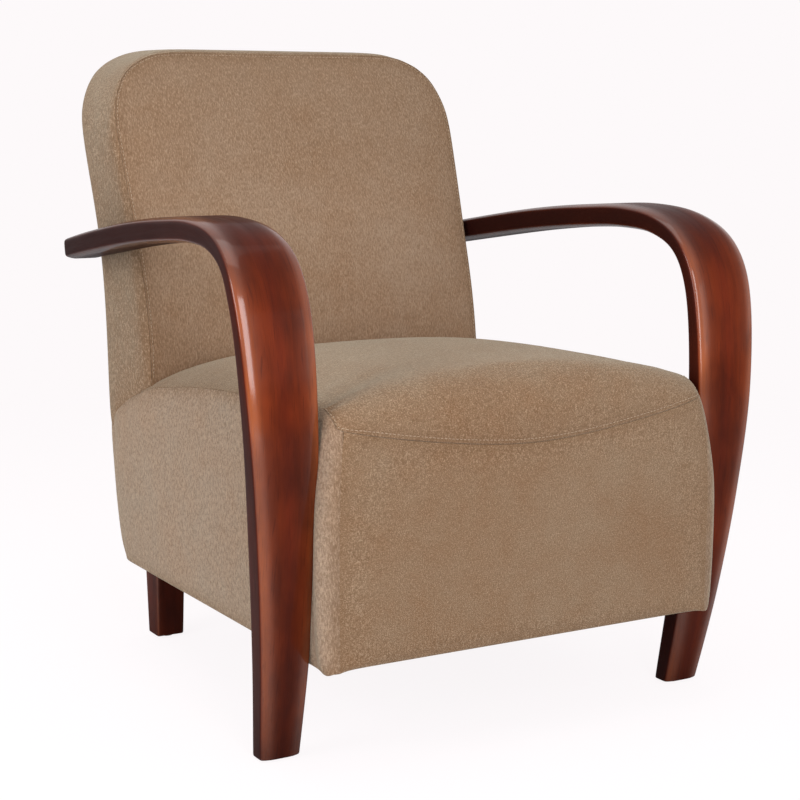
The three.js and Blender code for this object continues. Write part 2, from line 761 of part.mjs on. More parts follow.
// The outside back panel, from the top of the back to the bottom of the box.
function outsideBackGeometry() {
  const top = backHeight - rearCornerRadius - seamGap;
  const radius = backCornerRadius - rearCornerRadius - seamGap;
  const rows = rowsBetween(boxBottom, top, cornerRows(top, radius)).map((z) => {
    return { z, half: roundedHalf(backHalfWidth(z) - rearCornerRadius - seamGap, z, top, radius) };
  });
  const grid = (inset) => rows.map(({ z, half }) => {
    return backColumnShares.map((share) => new THREE.Vector3(share * half, rearFaceY(z) - inset, z));
  });
  return blockBetween(grid(clothThickness), grid(0), []);
}

// The frame of the seat box and back.
function addFrame() {
  const railBack = frontRailStart + railThickness;
  addPiece('front_board', 'hardboard', boxBetween(
    [-woodX, woodFront, woodBottom],
    [woodX, woodFront + boardThickness, underFelt(woodFront)],
  ));
  const upperTop = underWire(railBack);
  addPiece('front_rail_upper', 'beech', boxBetween(
    [-railX, frontRailStart, upperTop - upperRailHeight],
    [railX, railBack, upperTop],
  ));
  addPiece('front_rail_lower', 'beech', boxBetween(
    [-railX, frontRailStart, woodBottom],
    [railX, railBack, woodBottom + lowerRailHeight],
  ));
  const up = new THREE.Vector3(0, 0, 1);
  for (const [name, side] of Object.entries(armSide)) {
    const post = boxBetween(
      [Math.min(side * railX, side * frontPostInner), frontPostFront, woodBottom],
      [Math.max(side * railX, side * frontPostInner), frontPostRear, underFelt(frontPostRear)],
    );
    const holes = armBolts(side).slice(0, -1).map(boltHole);
    addPiece(`front_post_${name}`, 'beech', cutBy(post, holes));
    const x1 = side * railX;
    const x2 = side * (railX - railThickness);
    const sideStart = frontPostRear + fit;
    const upperEnd = postFrontY(underFelt(rearRailEnd) - upperRailHeight) - fit;
    addPiece(`side_rail_lower_${name}`, 'beech', boxBetween(
      [Math.min(x1, x2), sideStart, woodBottom],
      [Math.max(x1, x2), postFrontY(woodBottom) - fit, woodBottom + lowerRailHeight],
    ));
    const outline = [
      [sideStart, underFelt(sideStart) - upperRailHeight],
      [upperEnd, underFelt(upperEnd) - upperRailHeight],
      [upperEnd, underFelt(upperEnd)],
      [sideStart, underFelt(sideStart)],
    ];
    addPiece(`side_rail_upper_${name}`, 'beech', sideSlab(outline, Math.min(x1, x2), Math.max(x1, x2)));
    const boardOutline = [
      [frontRailStart, woodBottom],
      [upperEnd, woodBottom],
      [upperEnd, underFelt(upperEnd)],
      [frontRailStart, underFelt(frontRailStart)],
    ];
    const b1 = side * woodX;
    const b2 = side * (woodX - boardThickness);
    const board = sideSlab(boardOutline, Math.min(b1, b2), Math.max(b1, b2));
    addPiece(`side_board_${name}`, 'hardboard', cutBy(board, holes));
    addBackPost(name, side);
  }
  addCrossRails(up);
}

// One back post, curved like the back, from the bottom of the box to the top rail.
function addBackPost(name, side) {
  const heights = rowsBetween(woodBottom, backPostTop, []);
  const outline = heights.map((z) => [postFrontY(z), z]);
  outline.push(...heights.map((z) => [postRearY(z), z]).reverse());
  const x1 = Math.min(side * postX, side * backPostInner);
  const x2 = Math.max(side * postX, side * backPostInner);
  const hole = boltHole(armBolts(side).at(-1));
  addPiece(`back_post_${name}`, 'beech', cutBy(sideSlab(outline, x1, x2), [hole]));
}

// The rails that run across between the sides.
function addCrossRails(up) {
  const inner = backPostInner - fit;
  const beamRear = postRearY(woodBottom) - fit;
  const beam = boxBetween(
    [-inner, beamRear - rearBeamDepth, woodBottom],
    [inner, beamRear, woodBottom + rearBeamHeight],
  );
  const holes = [-1, 1].map((side) => {
    return rod(boltRadius + boltClearance, seatHeight, up, [side * rearLegX, rearLegY, 0]);
  });
  addPiece('rear_rail_lower', 'beech', cutBy(beam, holes));
  const seatRailTop = underWire(rearRailEnd);
  addPiece('rear_rail_seat', 'beech', boxBetween(
    [-inner, rearRailFront, seatRailTop - upperRailHeight],
    [inner, rearRailEnd, seatRailTop],
  ));
  const lumbarMiddle = lumbarRailBottom + lumbarRailHeight / 2;
  const lumbarFront = postFrontY(lumbarMiddle) + lumbarSetback;
  addPiece('lumbar_rail', 'beech', boxBetween(
    [-inner, lumbarFront, lumbarRailBottom],
    [inner, lumbarFront + railThickness, lumbarRailBottom + lumbarRailHeight],
  ));
  const topRail = uprightBody({
    bottom: backPostTop + fit,
    top: backHeight - skin - topPadding,
    cornerRadius: backCornerRadius - skin - topPadding,
    halfWidth: () => postX,
    front: (z) => postRearY(z) - topRailThickness,
    rear: postRearY,
    crown: 0,
    rearTurn: fit,
  });
  addPiece('back_top_rail', 'beech', topRail);
}

// Springs, felt and webbing that carry the cushions.
function addSuspension() {
  const springCount = Math.floor((2 * (railX - railThickness)) / springPitch);
  for (let i = 0; i < springCount; i += 1) {
    const x = (i - (springCount - 1) / 2) * springPitch;
    addPiece(`seat_spring_${i + 1}`, 'springSteel', springGeometry(x));
  }
  const feltFront = woodFront;
  const feltRear = rearRailEnd;
  const feltX = woodX;
  const outline = [
    [feltFront, deckZ(feltFront) - feltThickness - fit],
    [feltRear, deckZ(feltRear) - feltThickness - fit],
    [feltRear, deckZ(feltRear) - fit],
    [feltFront, deckZ(feltFront) - fit],
  ];
  addPiece('spring_felt', 'felt', sideSlab(outline, -feltX, feltX));
  const firstLow = lumbarRailBottom + lumbarRailHeight + webbingEndGap;
  const room = backPostTop - webbingEndGap - firstLow;
  const webbingCount = Math.floor((room + webbingGap) / (webbingWidth + webbingGap));
  for (let i = 0; i < webbingCount; i += 1) {
    const low = firstLow + i * (webbingWidth + webbingGap);
    addPiece(`back_webbing_${i + 1}`, 'elastic', strapGeometry(low, low + webbingWidth));
  }
}

// Foam and wadding under the covers.
function addPadding() {
  const inner = solid(seatBody(skin));
  const above = [
    [frontY - overrun, deckZ(frontY - overrun)],
    [rearRailEnd, deckZ(rearRailEnd)],
    [rearRailEnd, backHeight],
    [frontY - overrun, backHeight],
  ];
  const wide = seatWidth;
  addPiece('seat_foam', 'foam', geometryOf(inner.intersect(solid(sideSlab(above, -wide, wide)))));
  const below = [
    [frontY - overrun, 0],
    [rearRailEnd, 0],
    [rearRailEnd, deckZ(rearRailEnd) - fit],
    [frontY - overrun, deckZ(frontY - overrun) - fit],
  ];
  const lower = inner.intersect(solid(sideSlab(below, -wide, wide)));
  const front = solid(boxBetween([-wide, frontY - overrun, 0], [wide, woodFront - fit, backHeight]));
  addPiece('front_pad', 'foam', geometryOf(lower.intersect(front)));
  for (const [name, side] of Object.entries(armSide)) {
    const x1 = side * (woodX + fit);
    const x2 = side * wide;
    const region = solid(boxBetween(
      [Math.min(x1, x2), woodFront, 0],
      [Math.max(x1, x2), rearRailEnd, backHeight],
    ));
    const pad = geometryOf(lower.intersect(region));
    addPiece(`side_pad_${name}`, 'foam', cutBy(pad, armBolts(side).map(boltHole)));
  }
  const outset = solid(seatBody(-fit));
  const tailHoles = [-1, 1].map((side) => solid(boltHole(armBolts(side).at(-1))));
  const backFoam = solid(backBody(skin)).subtract(solid(backHollow(fit))).subtract(outset);
  addPiece('back_foam', 'foam', geometryOf(tailHoles.reduce((body, hole) => body.subtract(hole), backFoam)));
}

// The sewn covers, cut from thin shells of the seat and the back along their seams.
function addCovers() {
  const shell = solid(seatBody(0)).subtract(solid(seatBody(clothThickness)));
  const underside = solid(boxBetween(
    [-sideX + clothHem, frontY + clothHem, boxBottom - overrun],
    [sideX - clothHem, chairDepth, boxBottom + clothHem],
  ));
  const tuck = solid(boxBetween([-chairDepth, rearRailEnd, 0], [chairDepth, chairDepth, backHeight]));
  const top = pieceOf(shell, aboveTopSeam(0), [tuck]);
  addPiece('seat_cover', 'velour', geometryOf(top));
  const notTop = aboveTopSeam(-seamGap);
  const front = pieceOf(shell, beforeCorners(seamGap / 2), [notTop, underside]);
  addPiece('front_cover', 'velour', geometryOf(front));
  for (const [name, side] of Object.entries(armSide)) {
    const half = solid(boxBetween(
      [Math.min(side * chairDepth, side * (sideX - rearCornerRadius)), -chairDepth, 0],
      [Math.max(side * chairDepth, side * (sideX - rearCornerRadius)), chairDepth, backHeight],
    ));
    const holes = armBolts(side).map((b) => solid(boltHole(b)));
    const cover = pieceOf(shell, half, [notTop, beforeCorners(-seamGap / 2), underside, ...holes]);
    addPiece(`side_cover_${name}`, 'velour', geometryOf(cover));
  }
  const seatOut = solid(seatBody(-seamGap));
  const backShell = solid(backBody(0)).subtract(solid(backBody(clothThickness))).subtract(seatOut);
  const inside = pieceOf(backShell, beforeBackSeam(clothThickness + seamGap), []);
  addPiece('inside_back_cover', 'velour', geometryOf(inside));
  const tailHoles = [-1, 1].map((side) => solid(boltHole(armBolts(side).at(-1))));
  const behind = [beforeBackSeam(clothThickness + 2 * seamGap), outsideBackRegion(0), ...tailHoles];
  const boxing = behind.reduce((rest, region) => rest.subtract(region), backShell);
  addPiece('back_boxing', 'velour', geometryOf(boxing));
  addPiece('outside_back_cover', 'velour', outsideBackGeometry());
  const liningTop = boxBottom - fit;
  const lining = boxBetween(
    [-sideX + sidePadding, frontY + sidePadding, liningTop - clothThickness],
    [sideX - sidePadding, rearFaceY(boxBottom) - sidePadding, liningTop],
  );
  const up = new THREE.Vector3(0, 0, 1);
  const legHoles = [-1, 1].map((side) => {
    return rod(boltRadius + boltClearance, seatHeight, up, [side * rearLegX, rearLegY, 0]);
  });
  addPiece('dust_cover', 'lining', cutBy(lining, legHoles));
}

// Arms, rear legs, glides and bolts.
function addWoodwork() {
  for (const [name, side] of Object.entries(armSide)) {
    addPiece(`arm_${name}`, 'mahogany', armGeometry(side));
    const legX = side * rearLegX;
    addPiece(`rear_leg_${name}`, 'mahogany', rearLegGeometry(legX, rearLegY));
    const footX = side * (armInnerX + (armWidth * armWidthShares[0]) / 2);
    addPiece(`glide_front_${name}`, 'plastic', glideGeometry(footX, armCurve().getPoint(0).y));
    addPiece(`glide_rear_${name}`, 'plastic', glideGeometry(legX, rearLegY));
    armBolts(side).forEach((b, i) => {
      const axis = new THREE.Vector3(side, 0, 0);
      addPiece(`arm_bolt_${name}_${i + 1}`, 'zinc', bolt(b.length, axis, [side * b.start, b.y, b.z]));
    });
    const beamTop = woodBottom + rearBeamHeight + fit;
    const down = new THREE.Vector3(0, 0, -1);
    const reach = beamTop - boxBottom + legBoltDepth;
    addPiece(`leg_bolt_${name}`, 'zinc', bolt(reach, down, [legX, rearLegY, beamTop]));
  }
}

addFrame();
addSuspension();
addPadding();
addCovers();
addWoodwork();

export default chair;
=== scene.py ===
# %% [markdown]
# # An upholstered armchair with bentwood arms
# The chair is a box seat and a leaning back in short pile velour, held between two bent wooden arms.
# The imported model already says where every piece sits. This script dresses it: it models the covers,
# the arms and the seams in finer detail, gives every piece a material and lights it as in a studio.

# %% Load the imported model
import bpy
import bmesh
import math
from mathutils import Matrix, Vector
from mathutils.kdtree import KDTree


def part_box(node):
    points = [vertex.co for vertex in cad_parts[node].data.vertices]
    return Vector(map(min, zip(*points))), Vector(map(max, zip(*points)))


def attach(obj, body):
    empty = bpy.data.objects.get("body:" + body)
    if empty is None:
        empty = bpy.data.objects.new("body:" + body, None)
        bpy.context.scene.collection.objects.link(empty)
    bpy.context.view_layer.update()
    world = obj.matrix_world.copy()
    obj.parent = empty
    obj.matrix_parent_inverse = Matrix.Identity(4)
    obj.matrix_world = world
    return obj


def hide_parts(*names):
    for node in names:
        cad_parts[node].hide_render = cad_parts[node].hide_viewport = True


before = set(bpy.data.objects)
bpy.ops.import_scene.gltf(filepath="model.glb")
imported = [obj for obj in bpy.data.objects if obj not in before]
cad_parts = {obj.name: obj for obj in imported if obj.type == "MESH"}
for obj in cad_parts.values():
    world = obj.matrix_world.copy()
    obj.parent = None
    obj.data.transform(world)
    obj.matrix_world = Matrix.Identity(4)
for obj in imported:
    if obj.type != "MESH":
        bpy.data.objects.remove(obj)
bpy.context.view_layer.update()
mm = 0.001
scene = bpy.context.scene
print("nodes:", len(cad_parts))

# %% [markdown]
# ## The camera
# A camera is a matrix: three directions and a place. These come from the photograph's own edges, where
# parallel lines of the chair meet at vanishing points. A long lens keeps the chair's lines calm.

# %% Camera
camera_data = bpy.data.cameras.new("camera")
camera_data.sensor_width = 36
camera_data.lens = 82.068
camera_data.clip_end = 300
camera = bpy.data.objects.new("camera", camera_data)
scene.collection.objects.link(camera)
to_right = Vector((0.863978, -0.503521, 0.002948))
to_top = Vector((0.078330, 0.140183, 0.987022))
to_back = Vector((-0.497400, -0.852534, 0.160556))
turn = Matrix((to_right, to_top, to_back)).transposed().to_4x4()
camera.matrix_world = Matrix.Translation((-1.153955, -2.056008, 0.725944)) @ turn
scene.camera = camera
print("camera at", [round(c, 3) for c in camera.location])

# %% [markdown]
# ## Studio light
# A soft box stands to the left, and a tall one ahead of the chair draws the long shine on the arms. A
# weak one fills in from the right and a broad one hangs above. The world fills the shadows. Rays from
# the camera, and rays that mirror or pass through, see the plain pale background instead, so it stays
# even without more light on the chair. Nodes are added by a helper that links or sets each input.


# %% World and lamps
def feed(tree, socket, value):
    """Links a socket to another one, or sets its value."""
    if isinstance(value, bpy.types.NodeSocket):
        tree.links.new(value, socket)
    else:
        socket.default_value = value


def add_node(tree, kind, **inputs):
    """Adds a node and sets its inputs, by name or as _number, and its settings, by name."""
    node = tree.nodes.new("ShaderNode" + kind)
    for name, value in inputs.items():
        if name in node.inputs:
            feed(tree, node.inputs[name], value)
        elif name[0] == "_" and name[1:].isdigit():
            feed(tree, node.inputs[int(name[1:])], value)
        else:
            setattr(node, name, value)
    return node


def maths(tree, operation, a, b=0.0):
    """A sum or other operation on two values."""
    return add_node(tree, "Math", operation=operation, _0=a, _1=b).outputs[0]


background = (0.982, 0.947, 0.956, 1)
fill_colour, fill_strength = (0.93, 0.96, 1.0, 1), 0.58
world = bpy.data.worlds.new("studio")
scene.world = world
world.use_nodes = True
tree = world.node_tree
tree.nodes.clear()
rays = add_node(tree, "LightPath").outputs
either = maths(tree, "MAXIMUM", rays["Is Camera Ray"], rays["Is Glossy Ray"])
any_ray = maths(tree, "MAXIMUM", either, rays["Is Transmission Ray"])
fill = add_node(tree, "Background", Color=fill_colour, Strength=fill_strength)
pale = add_node(tree, "Background", Color=background)
mix = add_node(tree, "MixShader", _0=any_ray, _1=fill.outputs[0], _2=pale.outputs[0])
add_node(tree, "OutputWorld", _0=mix.outputs[0])


def soft_box(name, place, aim, size, power, colour):
    """A rectangular lamp at a place, turned to a point."""
    data = bpy.data.lights.new(name, "AREA")
    data.shape = "RECTANGLE"
    data.size, data.size_y = size
    data.energy = power
    data.color = colour
    lamp = bpy.data.objects.new(name, data)
    lamp.location = place
    lamp.rotation_euler = (Vector(aim) - Vector(place)).to_track_quat("-Z", "Y").to_euler()
    scene.collection.objects.link(lamp)
    print(name, power, "W")


soft_box("lamp_left", (-2.6, -0.6, 1.3), (0, 0, 0.35), (1.2, 1.6), 37, (0.97, 0.98, 1.0))
soft_box("lamp_window", (-0.78, -3.0, 1.4), (0, -0.2, 0.4), (0.9, 2.2), 44, (0.97, 0.97, 1.0))
soft_box("lamp_front", (1.3, -3.0, 1.2), (0, 0, 0.4), (1.6, 1.4), 6, (1.0, 0.97, 0.94))
soft_box("lamp_above", (-0.2, 0.1, 2.7), (0, 0, 0.4), (1.8, 1.8), 12, (1.0, 0.99, 0.98))
scene.view_settings.view_transform = "Standard"

# %% [markdown]
# ## Floor
# The floor is one very large plane, so that its far edge falls behind the background's colour. The
# camera sees mostly that colour and a share of the lit surface, which keeps the chair's shadow.

# %% Floor
def between(tree, value, low, high, out_low=0.0, out_high=1.0):
    """A value spread from one range to another, held at its ends."""
    return add_node(tree, "MapRange", Value=value, _1=low, _2=high, _3=out_low, _4=out_high).outputs["Result"]


bpy.ops.object.select_all(action="DESELECT")
bpy.ops.mesh.primitive_plane_add(size=240, location=(0, 0, 0))
floor = bpy.context.object
floor.name = "floor"
paint = bpy.data.materials.new("pale_floor")
paint.use_nodes = True
tree = paint.node_tree
tree.nodes.clear()
near_chair, far_away, plain_share, lit_share = 0.7, 2.2, 0.86, 0.44
away = add_node(tree, "VectorMath", operation="LENGTH", _0=add_node(tree, "TexCoord").outputs["Object"])
plain = between(tree, away.outputs["Value"], near_chair, far_away, plain_share, 1.0)
lit = add_node(tree, "Math", operation="MULTIPLY_ADD", _0=plain, _1=lit_share, _2=1 - lit_share)
matt = add_node(tree, "BsdfDiffuse", Color=(0.8, 0.79, 0.79, 1))
glow = add_node(tree, "Emission", Color=background, Strength=maths(tree, "DIVIDE", lit.outputs[0], plain))
seen = maths(tree, "MULTIPLY", add_node(tree, "LightPath").outputs["Is Camera Ray"], plain)
mix = add_node(tree, "MixShader", _0=seen, _1=matt.outputs[0], _2=glow.outputs[0])
add_node(tree, "OutputMaterial", _0=mix.outputs[0])
floor.data.materials.append(paint)
print("floor", round(floor.dimensions.x), "m wide")

# %% [markdown]
# ## Tools for shaping
# A piece starts as a block. Cuts through the block give it rows of points, and the points are then
# dragged to where the real form has them. Points that move alike are dragged together.


# %% Shaping helpers
def clamp(share):
    """Holds a value between 0 and 1."""
    return min(max(share, 0), 1)


def ease(share):
    """A soft rise from 0 to 1."""
    share = clamp(share)
    return share * share * (3 - 2 * share)


def smooth(table, place):
    """Reads a table of places and values along a smooth curve."""
    last = len(table) - 1
    place = min(max(place, table[0][0]), table[last][0])
    i = 0
    while i < last - 1 and place > table[i + 1][0]:
        i += 1

    def slope(k):
        a, b = table[max(k - 1, 0)], table[min(k + 1, last)]
        return (b[1] - a[1]) / (b[0] - a[0])

    (x0, y0), (x1, y1) = table[i], table[i + 1]
    wide = x1 - x0
    t = (place - x0) / wide
    rise = slope(i) * wide * t * (1 - t) ** 2 + slope(i + 1) * wide * t * t * (t - 1)
    return y0 + (y1 - y0) * t * t * (3 - 2 * t) + rise


def block(name, low, high):
    """A closed block between two corners, given in millimetres."""
    bpy.ops.object.select_all(action="DESELECT")
    size = [(b - a) * mm for a, b in zip(low, high)]
    place = [(a + b) / 2 * mm for a, b in zip(low, high)]
    bpy.ops.mesh.primitive_cube_add(size=1, location=place)
    piece = bpy.context.object
    piece.name = piece.data.name = name
    bpy.ops.transform.resize(value=size)
    bpy.ops.object.transform_apply(location=True, rotation=True, scale=True)
    return piece


def cut_rows(piece, axis, places):
    """Cuts a piece by level planes across one axis, at places in millimetres."""
    pick(piece)
    bpy.ops.object.mode_set(mode="EDIT")
    for place in places:
        bpy.ops.mesh.select_all(action="SELECT")
        normal = [0, 0, 0]
        normal[axis] = 1
        bpy.ops.mesh.bisect(plane_co=[place * mm * n for n in normal], plane_no=normal)
    bpy.ops.object.mode_set(mode="OBJECT")


def drag_points(piece, rule):
    """Drags each point of a piece to where rule puts it; points that move alike go together."""
    moves = {}
    for v in piece.data.vertices:
        shift = Vector(rule(v.co / mm)) * mm - v.co
        if shift.length > 1e-6:
            moves.setdefault(tuple(round(s, 5) for s in shift), []).append(v.index)
    pick(piece)
    bpy.ops.object.mode_set(mode="EDIT")
    bpy.ops.mesh.select_mode(type="VERT")
    for shift, points in moves.items():
        bpy.ops.mesh.select_all(action="DESELECT")
        mesh = bmesh.from_edit_mesh(piece.data)
        mesh.verts.ensure_lookup_table()
        for i in points:
            mesh.verts[i].select = True
        bpy.ops.transform.translate(value=shift)
    bpy.ops.object.mode_set(mode="OBJECT")
    print(piece.name, "dragged in", len(moves), "moves")


def pick(piece):
    """Makes a piece the active object and the only selected one."""
    bpy.ops.object.select_all(action="DESELECT")
    bpy.context.view_layer.objects.active = piece
    piece.select_set(True)


def apply_modifier(piece, kind, **settings):
    """Adds a modifier with its settings and applies it."""
    pick(piece)
    modifier = piece.modifiers.new(kind.lower(), kind)
    for name, value in settings.items():
        setattr(modifier, name, value)
    bpy.ops.object.modifier_apply(modifier=modifier.name)


# %% [markdown]
# ## The seat box
# The seat and the box under it are one sewn cover over foam. A block is cut into rows, and the rows are
# dragged to the crowned top, the rolled front edge and the seam that sags across the front. The seam
# runs along the edge of the block's top face, so the rows of the top follow it by themselves.

# %% Seat shape
seat_rows = [-383.5, -374.5, -365.5, -356.5, -347.5, -338.5, -312, -272, -232, -192, -152, -112, -72,
             -32, 8, 48, 88, 124, 158, 192, 215, 235]
seat_columns = [0.3, 0.58, 0.79, 0.93, 0.967]
corner_seam = 0.967
seat_levels = [119, 128, 160, 210, 260, 310, 355, 395, 419]
seat_half, seat_front, seat_rear, box_bottom, seat_top_z = 261, -383.5, 235, 115, 431
wall_x, hidden_y = 256, 158
roll = 45
roll_start = seat_front + roll
at_edge, in_middle = 0.99, 0.95
side_edge = [(-384, 402), (-340, 402), (-146, 394), (-28, 385), (110, 366), (146, 358), (192, 336),
             (246, 298), (275, 284)]
rear_face = [(115, 231.6), (132, 244.7), (160, 253.5), (270, 272.3), (380, 285.3), (480, 294.5),
             (560, 307.6), (640, 331.3), (720, 356.7), (798, 383.5)]
front_bulge = [(115, 5), (124, 8), (150, 11.5), (275, 11.5), (300, 7), (325, 3), (350, 0), (431, 0)]


def seat_top(side, y):
    """The height of the crowned seat at a share of the half width."""
    past = max((y - seat_front - 179) / 320, 0)
    ridge = seat_top_z - 31 * past ** 2.1
    return ridge - (ridge - smooth(side_edge, y)) * abs(side) ** (3 + clamp((y + 100) / 200))


def front_seam(side):
    """The height of the curved seam across the front."""
    seam_end, seam_dip = 383, 38
    return seam_end - seam_dip * (1 - abs(side) ** 1.5)


def wall_half(y, z):
    """Half the width of the box at its side walls."""
    bulge_y = -366
    bump = math.exp(-((y - bulge_y) / (20 if y < bulge_y else 13)) ** 2)
    return wall_x + 4.6 * clamp((395 - z) / 40) + smooth(front_bulge, z) * bump


def disc(a, b):
    """Carries a point near a square's corner, at shares a and b, onto a quarter disc."""
    angle = a / b * math.pi / 4 if b >= a else math.pi / 2 - b / a * math.pi / 4
    return max(a, b) * math.sin(angle), max(a, b) * math.cos(angle)


def round_corner(x, y, half, front, radius):
    """Carries a point near a square corner in plan onto a corner of that radius."""
    across, deep = (x - (half - radius)) / radius, (front + radius - y) / radius
    if across <= 0 or deep <= 0:
        return x, y
    across, deep = disc(min(across, 1), min(deep, 1))
    return half - radius + radius * across, front + radius - radius * deep


def on_roll(z, start):
    """How far back the rolled front edge lies at a height, when the roll starts at another height."""
    drop = clamp((start - z) / roll)
    return roll_start - roll * math.sqrt(1 - (1 - drop) ** 2)


def on_front(side, y, start):
    """Where a row of the top goes that lies on the rolled front, down to the seam."""
    drop = start - front_seam(side)
    bend = math.acos(1 - min(drop / roll, 1)) * roll
    path = (bend + max(drop - roll, 0)) * (1 - (y - seat_front) / roll)
    if path <= bend:
        return roll_start - roll * math.sin(path / roll), start - roll * (1 - math.cos(path / roll))
    return seat_front, start - roll - (path - bend)


def seat_rule(p):
    """Where a point of the seat's block goes."""
    side = p.x / seat_half
    at_side, on_top = abs(side) > at_edge, p.z > seat_top_z - 0.1
    start = seat_top(side, roll_start)
    if p.y < roll_start + 0.1:
        top_y, top_z = on_front(side, p.y, start)
    else:
        top_y, top_z = p.y, seat_top(side, p.y) - (3 if at_side else 0)
    if on_top:
        z, y = top_z, top_y
    else:
        z = box_bottom + (p.z - box_bottom) / (seat_top_z - box_bottom) * (top_z - box_bottom)
        y = p.y
        if p.y < roll_start:
            y += (on_roll(z, start) - seat_front) * (1 - (p.y - seat_front) / roll)
    if p.y > hidden_y:
        y = hidden_y + (p.y - hidden_y) / (seat_rear - hidden_y) * (smooth(rear_face, z) - hidden_y)
    half = wall_x if on_top else wall_half(y if at_side else 0, z)
    if p.y > seat_rear - 1 and at_side:
        half, y = half - 5, y - 5
    wall = half + (2.5 if not (at_side or on_top) and z < 300 else 0)
    x, y = round_corner(abs(side) * half, y, wall, on_roll(z, start), 10 + 20 * ease((z - 290) / 80))
    if p.z < box_bottom + 0.1:
        # The hem turns under: lifted along the front, a little at its corners, and low at the sides.
        at_front = p.y < seat_front + 1
        x -= 2 if at_side else 0
        if at_front and abs(side) < in_middle:
            y, z = y + 3, z + 3.6
        else:
            z += 1 if at_front else -3.5
    return math.copysign(x, side), y, z


seat = block("seat_body", (-seat_half, seat_front, box_bottom), (seat_half, seat_rear, seat_top_z))
cut_rows(seat, 0, [s * seat_half * side for s in seat_columns for side in (-1, 1)] + [0])
cut_rows(seat, 1, seat_rows[1:-1])
cut_rows(seat, 2, seat_levels)

# %% [markdown]
# The panels of the cover are told apart by material slot before the points are dragged: the top, the
# front, the two sides with their strip round the rear corner, and what nobody sees. A seam is then
# simply an edge between two slots.

# %% Seat panels
TOP, FRONT, LEFT, RIGHT, UNSEEN = range(5)
rear_strip = 0.93
for name in ["seat_top", "front_panel", "side_panel_left", "side_panel_right", "unseen"]:
    seat.data.materials.append(bpy.data.materials.new("panel_" + name))
for face in seat.data.polygons:
    x, y, z = face.center / mm
    if abs(face.normal.x) > 0.5:
        face.material_index = LEFT if face.normal.x < 0 else RIGHT
    elif face.normal.y < -0.5:
        wrapped = abs(x) > corner_seam * seat_half
        face.material_index = (LEFT if x < 0 else RIGHT) if wrapped else FRONT
    elif face.normal.z > 0.5:
        face.material_index = TOP if y < hidden_y else UNSEEN
    elif face.normal.y > 0.5 and abs(x) > rear_strip * seat_half:
        face.material_index = LEFT if x < 0 else RIGHT
    else:
        face.material_index = UNSEEN
drag_points(seat, seat_rule)

# %% [markdown]
# ## The back
# The back is a block too. Its outline, seen from the front, is a rectangle with two large rounded
# corners. The block's top corners go to the middle of those arcs, and the points inside are spread
# between the four sides of the outline, so that the rows stay even all over the panel.

# %% Back shape
front_face = [(239, 130.4), (394, 134.2), (457, 142.7), (500, 155.7), (565, 176.4), (646, 205.6),
              (705, 226.3), (798, 261.5)]
back_halves = [(115, 260.9), (270, 259.1), (367, 257), (450, 255.9), (540, 257), (650, 262), (710, 263)]
back_top, back_arc, rear_turn = 798, 106, 20
arc_share, side_share = 0.655, 0.805


def outline_side(v, low, top, radius, inset):
    """A point on the side of the back's outline, from the bottom to the middle of the corner's arc."""
    z_arc = top - radius
    if v <= side_share:
        z = low + (z_arc - low) * v / side_share
        return smooth(back_halves, z) - inset, z
    angle = (v - side_share) / (1 - side_share) * math.pi / 4
    return smooth(back_halves, z_arc) - inset - radius * (1 - math.cos(angle)), z_arc + radius * math.sin(angle)


def outline_top(u, top, radius, inset):
    """A point on the top of the outline, from the middle to the middle of the corner's arc."""
    flat = smooth(back_halves, top - radius) - inset - radius
    size = abs(u)
    if size <= arc_share:
        x, z = flat * size / arc_share, top
    else:
        angle = math.pi / 2 - (size - arc_share) / (1 - arc_share) * math.pi / 4
        x, z = flat + radius * math.cos(angle), top - radius * (1 - math.sin(angle))
    return math.copysign(x, u), z


def spread(u, v, bottom, low, top, radius, inset):
    """A point inside the outline, spread between its four sides."""
    side = outline_side(v, low, top, radius, inset)
    foot = outline_side(0, low, top, radius, inset)
    corner = outline_side(1, low, top, radius, inset)
    head = outline_top(u, top, radius, inset)
    base_z = bottom(u)
    x = u * side[0] + (1 - v) * u * foot[0] + v * head[0] - u * ((1 - v) * foot[0] + v * corner[0])
    z = side[1] + (1 - v) * base_z + v * head[1] - ((1 - v) * low + v * corner[1])
    across, up = (abs(u) - arc_share) / (1 - arc_share), (v - side_share) / (1 - side_share)
    if across > 0 and up > 0:
        flat = smooth(back_halves, top - radius) - inset - radius
        share = ease(min(across, up) / 0.6)
        up, across = disc(up, across)
        x += share * (math.copysign(flat + radius * across, u) - x)
        z += share * (top - radius + radius * up - z)
    return x, z


def swell(x, z):
    """How far the front of the back stands out between its seams."""
    middle, reach, most = 534, 264, 14
    fade = max(1 - (abs(z - middle) / reach) ** 4, 0)
    return most * fade * (1 - min(abs(x) / smooth(back_halves, z), 1) ** 3)


def crease(u):
    """The height where the front of the back meets the seat."""
    y = 134
    for _ in range(3):
        z = seat_top(u, y)
        y = smooth(front_face, z) - (swell(u * wall_x, z) if abs(u) < at_edge else 0)
    return z - 6


def side_foot(w):
    """The height where the band of the back meets the side panel, at a share of the depth."""
    z = 340
    for _ in range(5):
        y = smooth(front_face, z) + w * (smooth(rear_face, z) - smooth(front_face, z))
        z = smooth(side_edge, y) - 4
    return z


rim_u, rim_v = 0.955, 0.975
back_columns = [0.22, 0.44, arc_share, 0.77, 0.885, rim_u]
back_levels = [0.035, 0.13, 0.27, 0.41, 0.55, 0.69, side_share, 0.87, 0.935, rim_v]
back_depths = [0.03, 0.08, 0.17, 0.3, 0.55, 0.78, 0.9]
front_inset = [(0, 5.5), (0.03, 3.4), (0.08, 1.8), (0.17, 0.8), (0.3, 0.3), (0.55, 0), (0.9, 0),
               (1, 1.8)]
corner_arc = [(0, 90), (0.03, 95), (0.08, 99), (0.17, 103), (0.3, 105), (0.55, 106), (1, 106)]


